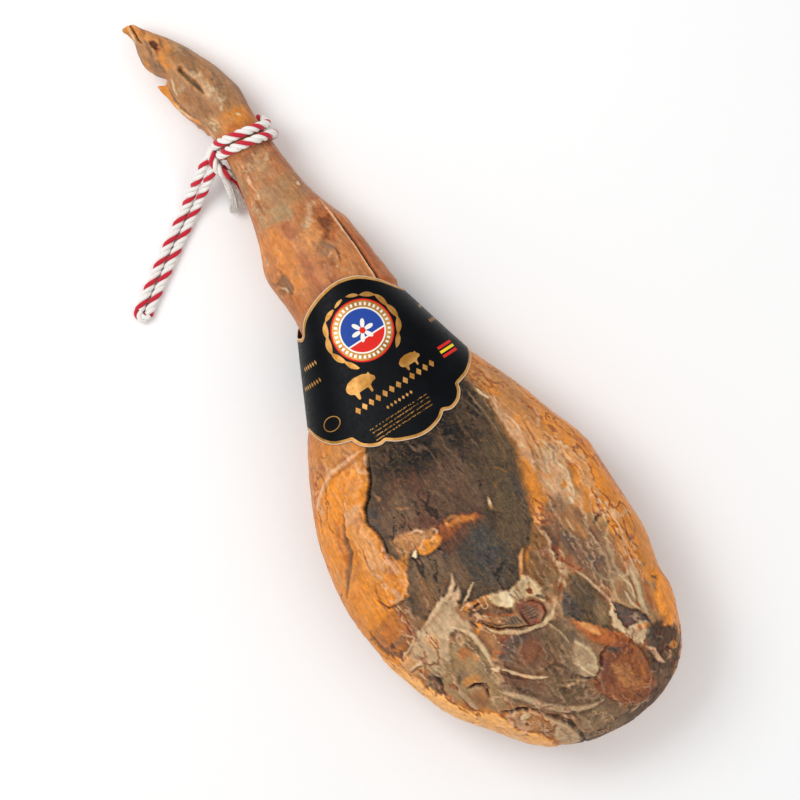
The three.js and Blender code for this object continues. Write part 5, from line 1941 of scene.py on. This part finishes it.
@dataclass(frozen=True)
class TwistedRope:
    """Three-strand rope along a line, in metres."""

    radius: float = 4.3 * MM
    reach: float = 0.53
    strand: float = 0.485
    pitch: float = 21 * MM
    sides: int = 12
    step: float = 0.8 * MM
    yarns: tuple[Yarn, ...] = (Yarn.RED, Yarn.WHITE, Yarn.WHITE)

    def strand_lines(self, path: Array, phase: float) -> list[Array]:
        """Winds the middle line of each strand round the rope's own line.

        Args:
            path: The rope's line.
            phase: The first strand's angle at the line's start.

        Returns:
            The strands' lines.
        """
        across, beside = frames(path)
        run = run_along(path)
        lines = []
        for k in range(len(self.yarns)):
            turn = (phase + math.tau * (k / len(self.yarns) + run / self.pitch))[:, None]
            lines.append(path + self.radius * self.reach * (np.cos(turn) * across + np.sin(turn) * beside))
        return lines

    def strand_places(self, run: Array) -> list[Point]:
        """Lays a strand's surface out flat for its finish.

        Args:
            run: How far along the strand each of its rings is.

        Returns:
            The place round and along the strand of each corner of its faces, the two ends last.
        """
        places = []
        for near, far in zip(run, run[1:]):
            for low, high in ((i / self.sides, (i + 1) / self.sides) for i in range(self.sides)):
                places += [(low, near), (high, near), (high, far), (low, far)]
        return places + [(0.5, run[0])] * self.sides + [(0.5, run[-1])] * self.sides

    def build(self, name: str, path: Array, phase: float, node: str) -> Piece:
        """Lays the strands as one piece.

        Args:
            name: The piece's name.
            path: The rope's line, in metres.
            phase: The first strand's angle at the line's start.
            node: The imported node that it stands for.

        Returns:
            The piece, with closed ends.
        """
        points, faces, finish, places = [], [], [], []
        for yarn, middle in zip(self.yarns, self.strand_lines(evenly(path, self.step), phase)):
            thick = np.full(len(middle), self.radius * self.strand)
            rings, sides = tube(middle, thick, self.sides, len(points))
            points.extend(rings)
            faces.extend(sides)
            places.extend(self.strand_places(run_along(middle)))
            finish.extend([list(Yarn).index(yarn)] * len(sides))
        rope = new_object(name, np.array(points), faces)
        mesh = rope.data
        mesh.uv_layers.new(name="strand").data.foreach_set("uv", np.array(places, np.float32).ravel())
        for yarn in Yarn:
            mesh.materials.append(Cotton(yarn).make())
        mesh.polygons.foreach_set("material_index", np.array(finish, np.int32))
        return finish_piece(rope, "cotton_rope", node)


@dataclass
class HangingRope:
    """The cotton rope: two turns, the hitch, the hanging loop and two frayed ends."""

    rope: TwistedRope = TwistedRope()
    gap: float = 0.35 * MM
    first_turn: float = 1.2
    route: tuple[Place, ...] = (
        (-0.2375, -0.0210, 0.0310), (-0.2345, -0.0260, 0.0295), (-0.2300, -0.0335, 0.0240),
        (-0.2245, -0.0425, 0.0150), (-0.2185, -0.0525, 0.0080), (-0.2120, -0.0630, 0.0050),
        (-0.2040, -0.0760, 0.0044), (-0.1940, -0.0920, 0.0044), (-0.1820, -0.1105, 0.0044),
        (-0.1710, -0.1275, 0.0044), (-0.1610, -0.1420, 0.0044),
    )
    hitch_route: tuple[Place, ...] = (
        (-0.2500, -0.0085, 0.0330), (-0.2450, -0.0125, 0.0365), (-0.2380, -0.0152, 0.0375),
        (-0.2300, -0.0150, 0.0360), (-0.2235, -0.0120, 0.0330), (-0.2215, -0.0095, 0.0280),
        (-0.2250, -0.0100, 0.0235), (-0.2330, -0.0130, 0.0215), (-0.2420, -0.0130, 0.0230),
    )

    def build(self) -> list[Piece]:
        """Builds every piece of the rope.

        Returns:
            The pieces.
        """
        lines = [self.leg_line(1, (-0.2350, -0.0120, 0.0290)), self.leg_line(-1, (-0.2475, -0.0105, 0.0330))]
        legs = [
            self.rope.build(f"loop_leg_{number}", path, phase, f"rope_loop_leg_{number}")
            for number, path, phase in zip((1, 2), lines, (0.6, 1.3))
        ]
        end = self.rope.build("loop_end", self.end_line(), 0.0, "rope_loop_end")
        turns = [self.turn(number) for number in (1, 2)]
        hitch = self.rope.build("hitch", spline(self.hitch_route, 14), 2.0, "rope_hitch")
        return [*legs, end, *turns, hitch, *self.frayed_ends()]

    def leg_line(self, side: int, head: Place) -> Array:
        """Draws the middle line of one leg of the loop.

        Args:
            side: The leg's side of the loop's middle line, 1 or -1.
            head: Where it comes out of the hitch.

        Returns:
            The line.
        """
        middle = spline(self.route, 12)
        across = np.cross([0, 0, 1], np.gradient(middle, axis=0))
        across /= np.linalg.norm(across, axis=1)[:, None]
        free = middle + side * (self.rope.radius + self.gap / 2) * across
        return np.vstack([spline([head, free[4], free[10]], 8)[:8], free[4:]])

    def end_line(self) -> Array:
        """Draws the half turn at the end of the loop.

        Returns:
            Its line.
        """
        before, last = np.array(self.route[-2:])
        ahead = (last - before) / np.linalg.norm(last - before)
        across = np.cross([0, 0, 1], ahead)
        centre = last + ahead * 2 * self.gap
        turn = np.linspace(0, math.pi, 25)[:, None]
        return centre + (self.rope.radius + self.gap / 2) * (np.cos(turn) * across + np.sin(turn) * ahead)

    def turn(self, number: int) -> Piece:
        """Lays one turn round the hock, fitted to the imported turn's box.

        Args:
            number: The turn's number. The first one leans over the second at the front.

        Returns:
            The turn.
        """
        low, high = (np.array(corner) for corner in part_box(f"rope_turn_{number}"))
        middle, half = (low + high) / 2, (high - low) / 2 - self.rope.radius
        angle = np.radians(np.linspace(184, 536, 90))
        lean = (half[0] + 0.2 * self.rope.radius) * np.cos(angle)
        if number == 1:
            lean -= 9 * MM * np.exp(-(((angle - math.radians(325)) / math.radians(28)) ** 2))
        ring = np.column_stack([lean, half[1] * np.cos(angle), half[2] * np.sin(angle)])
        phase = self.first_turn * number
        return self.rope.build(f"turn_{number}", middle + ring, phase, f"rope_turn_{number}")

    def frayed_ends(self) -> list[Piece]:
        """Builds the two frayed ends of the rope.

        Returns:
            The long one and the short one.
        """
        long_route = (-0.2245, -0.0145, 0.0250), (-0.2080, -0.0165, 0.0190), (-0.1905, -0.0235, 0.0080)
        short_route = (-0.2225, -0.0115, 0.0200), (-0.2070, -0.0135, 0.0160), (-0.1905, -0.0165, 0.0085)
        red_route = ((-0.2220, -0.0120, 0.0310), (-0.2130, -0.0085, 0.0290), (-0.2040, -0.0083, 0.0255),
                     (-0.1955, -0.0100, 0.0200))
        long_bundle = Bundle(Yarn.WHITE, long_route, 170, 2.0 * MM, 5.6 * MM)
        short_bundle = Bundle(Yarn.WHITE, short_route, 110, 2.0 * MM, 4.6 * MM)
        red_bundle = Bundle(Yarn.RED, red_route, 34, 1.3 * MM, 0.3 * MM)
        return [
            Fringe("frayed_end_long", (long_bundle,), 3).build(),
            Fringe("frayed_end_short", (short_bundle, red_bundle), 5).build(),
        ]


@dataclass(frozen=True)
class Bundle:
    """A bundle of loose cotton fibres along a route, in metres."""

    yarn: Yarn
    route: tuple[Place, ...]
    count: int
    start_radius: float
    end_radius: float


@dataclass(frozen=True)
class Fringe:
    """A frayed rope end: bundles of cotton fibres."""

    name: str
    bundles: tuple[Bundle, ...]
    seed: int
    fibre: float = 0.3 * MM
    steps: int = 11
    sides: int = 4

    def build(self) -> Piece:
        """Builds the fibres as one piece.

        Returns:
            The piece.
        """
        draw = np.random.default_rng(self.seed)
        points, faces, finish = [], [], []
        for bundle in self.bundles:
            for _ in range(bundle.count):
                path = self.fibre_line(bundle, draw)
                thick = self.fibre * (1 - 0.6 * (np.arange(len(path)) / self.steps) ** 3)
                rings, sides = tube(path, thick, self.sides, len(points))
                points.extend(rings)
                faces.extend(sides)
                finish.extend([list(Yarn).index(bundle.yarn)] * len(sides))
        piece = new_object(self.name, np.array(points), faces)
        for yarn in Yarn:
            piece.data.materials.append(LooseCotton(yarn).make())
        piece.data.polygons.foreach_set("material_index", np.array(finish, np.int32))
        return finish_piece(piece, "cotton_rope", f"rope_{self.name}")

    def fibre_line(self, bundle: Bundle, draw: np.random.Generator) -> Array:
        """Draws the line of one fibre, somewhere in its bundle.

        Args:
            bundle: The bundle.
            draw: What its chances are drawn from.

        Returns:
            The line.
        """
        route = spline(bundle.route, 8)
        across, beside = frames(route)
        angle, out = draw.uniform(0, math.tau), math.sqrt(draw.uniform())
        share = np.linspace(0, 1, len(route))[:, None]
        reach = out * (bundle.start_radius + (bundle.end_radius - bundle.start_radius) * share**1.3)
        turn = angle + 0.8 * share
        path = route + reach * (np.cos(turn) * across + np.sin(turn) * beside)
        path += draw.normal(0, 0.5 * MM, 3) * np.sin(share * draw.uniform(4, 9))
        path = path[: max(4, round(len(path) * draw.uniform(0.86, 1.0)))]
        path[:, 2] = np.maximum(path[:, 2], 2 * self.fibre)
        run = np.linspace(0, len(path) - 1, self.steps)
        return np.column_stack([np.interp(run, np.arange(len(path)), path[:, k]) for k in range(3)])


@dataclass(frozen=True)
class LooseCotton:
    """The finish of loose cotton fibres."""

    yarn: Yarn

    def make(self) -> bpy.types.Material:
        """Builds the material.

        Returns:
            The material.
        """
        graph = Graph(f"loose_cotton_{self.yarn.name.lower()}", Roughness=0.95)
        tone = linear(self.yarn.value)
        dusk = tone * (0.8 if self.yarn is Yarn.WHITE else 0.35)
        colour = graph.mix(graph.remap(graph.noise(2 * MM, 4), 0.3, 0.7), dusk, tone)
        return graph.dress(Base_Color=colour, Normal=graph.bump(graph.noise(0.5 * MM, 2), 0.05 * MM))


# --- The studio ---------------------------------------------------------------------------------------


@dataclass
class Studio:
    """A pale floor, soft light and a camera straight above the ham."""

    turn: float = math.radians(57)
    aim: Point = (0.031, 0.009)
    height: float = 4.0
    level: float = 0.06
    view_width: float = 0.712
    sensor: float = 36.0
    floor_size: float = 8.0
    floor_tone: float = 0.97
    daylight: float = 0.61

    def build(self) -> None:
        """Sets the floor, the lights and the camera."""
        scene = bpy.context.scene
        scene.view_settings.view_transform = "Standard"
        self.camera(scene)
        self.floor()
        self.light("key", (-1.2, 0.6, 1.8), 1.2, 24)
        self.light("fill", (1.2, -0.6, 1.9), 1.8, 8)
        world = bpy.data.worlds.new("studio")
        world.use_nodes = True
        sky = world.node_tree.nodes["Background"].inputs
        sky["Color"].default_value = (1, 1, 1, 1)
        sky["Strength"].default_value = self.daylight
        scene.world = world

    def camera(self, scene: bpy.types.Scene) -> None:
        """Sets the camera, which looks straight down, with the foot at the upper left.

        Args:
            scene: The scene.
        """
        data = bpy.data.cameras.new("camera")
        data.sensor_width = self.sensor
        data.lens = self.sensor * self.height / self.view_width
        data.clip_end = 20
        camera = bpy.data.objects.new("camera", data)
        camera.location = (*self.aim, self.level + self.height)
        camera.rotation_euler = (0, 0, self.turn)
        scene.collection.objects.link(camera)
        scene.camera = camera

    def floor(self) -> None:
        """Lays a wide pale floor at the level the ham lies on."""
        reach = self.floor_size / 2
        corners = np.array([(-reach, -reach, 0), (reach, -reach, 0), (reach, reach, 0), (-reach, reach, 0)])
        floor = new_object("floor", corners, [(0, 1, 2, 3)])
        graph = Graph("floor", Base_Color=np.full(3, self.floor_tone), Roughness=0.9)
        floor.data.materials.append(graph.material)

    def light(self, name: str, place: Place, size: float, power: float) -> None:
        """Hangs a square soft light that aims at the ham.

        Args:
            name: Its name.
            place: How far right, ahead and up it is, in the camera's own directions.
            size: Its side.
            power: Its power in watts.
        """
        data = bpy.data.lights.new(name, "AREA")
        data.size, data.energy = size, power
        lamp = bpy.data.objects.new(name, data)
        right = Vector((math.cos(self.turn), math.sin(self.turn), 0))
        ahead = Vector((-math.sin(self.turn), math.cos(self.turn), 0))
        lamp.location = right * place[0] + ahead * place[1] + Vector((0, 0, place[2]))
        lamp.rotation_euler = (-lamp.location).to_track_quat("-Z", "Y").to_euler()
        bpy.context.scene.collection.objects.link(lamp)


def main() -> None:
    """Builds the studio and every piece."""
    logging.basicConfig(level=logging.INFO, format="%(name)s: %(message)s")
    studio, collar = Studio(), Collar()
    studio.build()
    pieces = HangingRope().build()
    pieces += [Ham(collar, studio).build(), collar.build()]
    for piece in pieces:
        log.info("%s: %d faces", piece.name, len(piece.data.polygons))


if __name__ == "__main__":
    main()
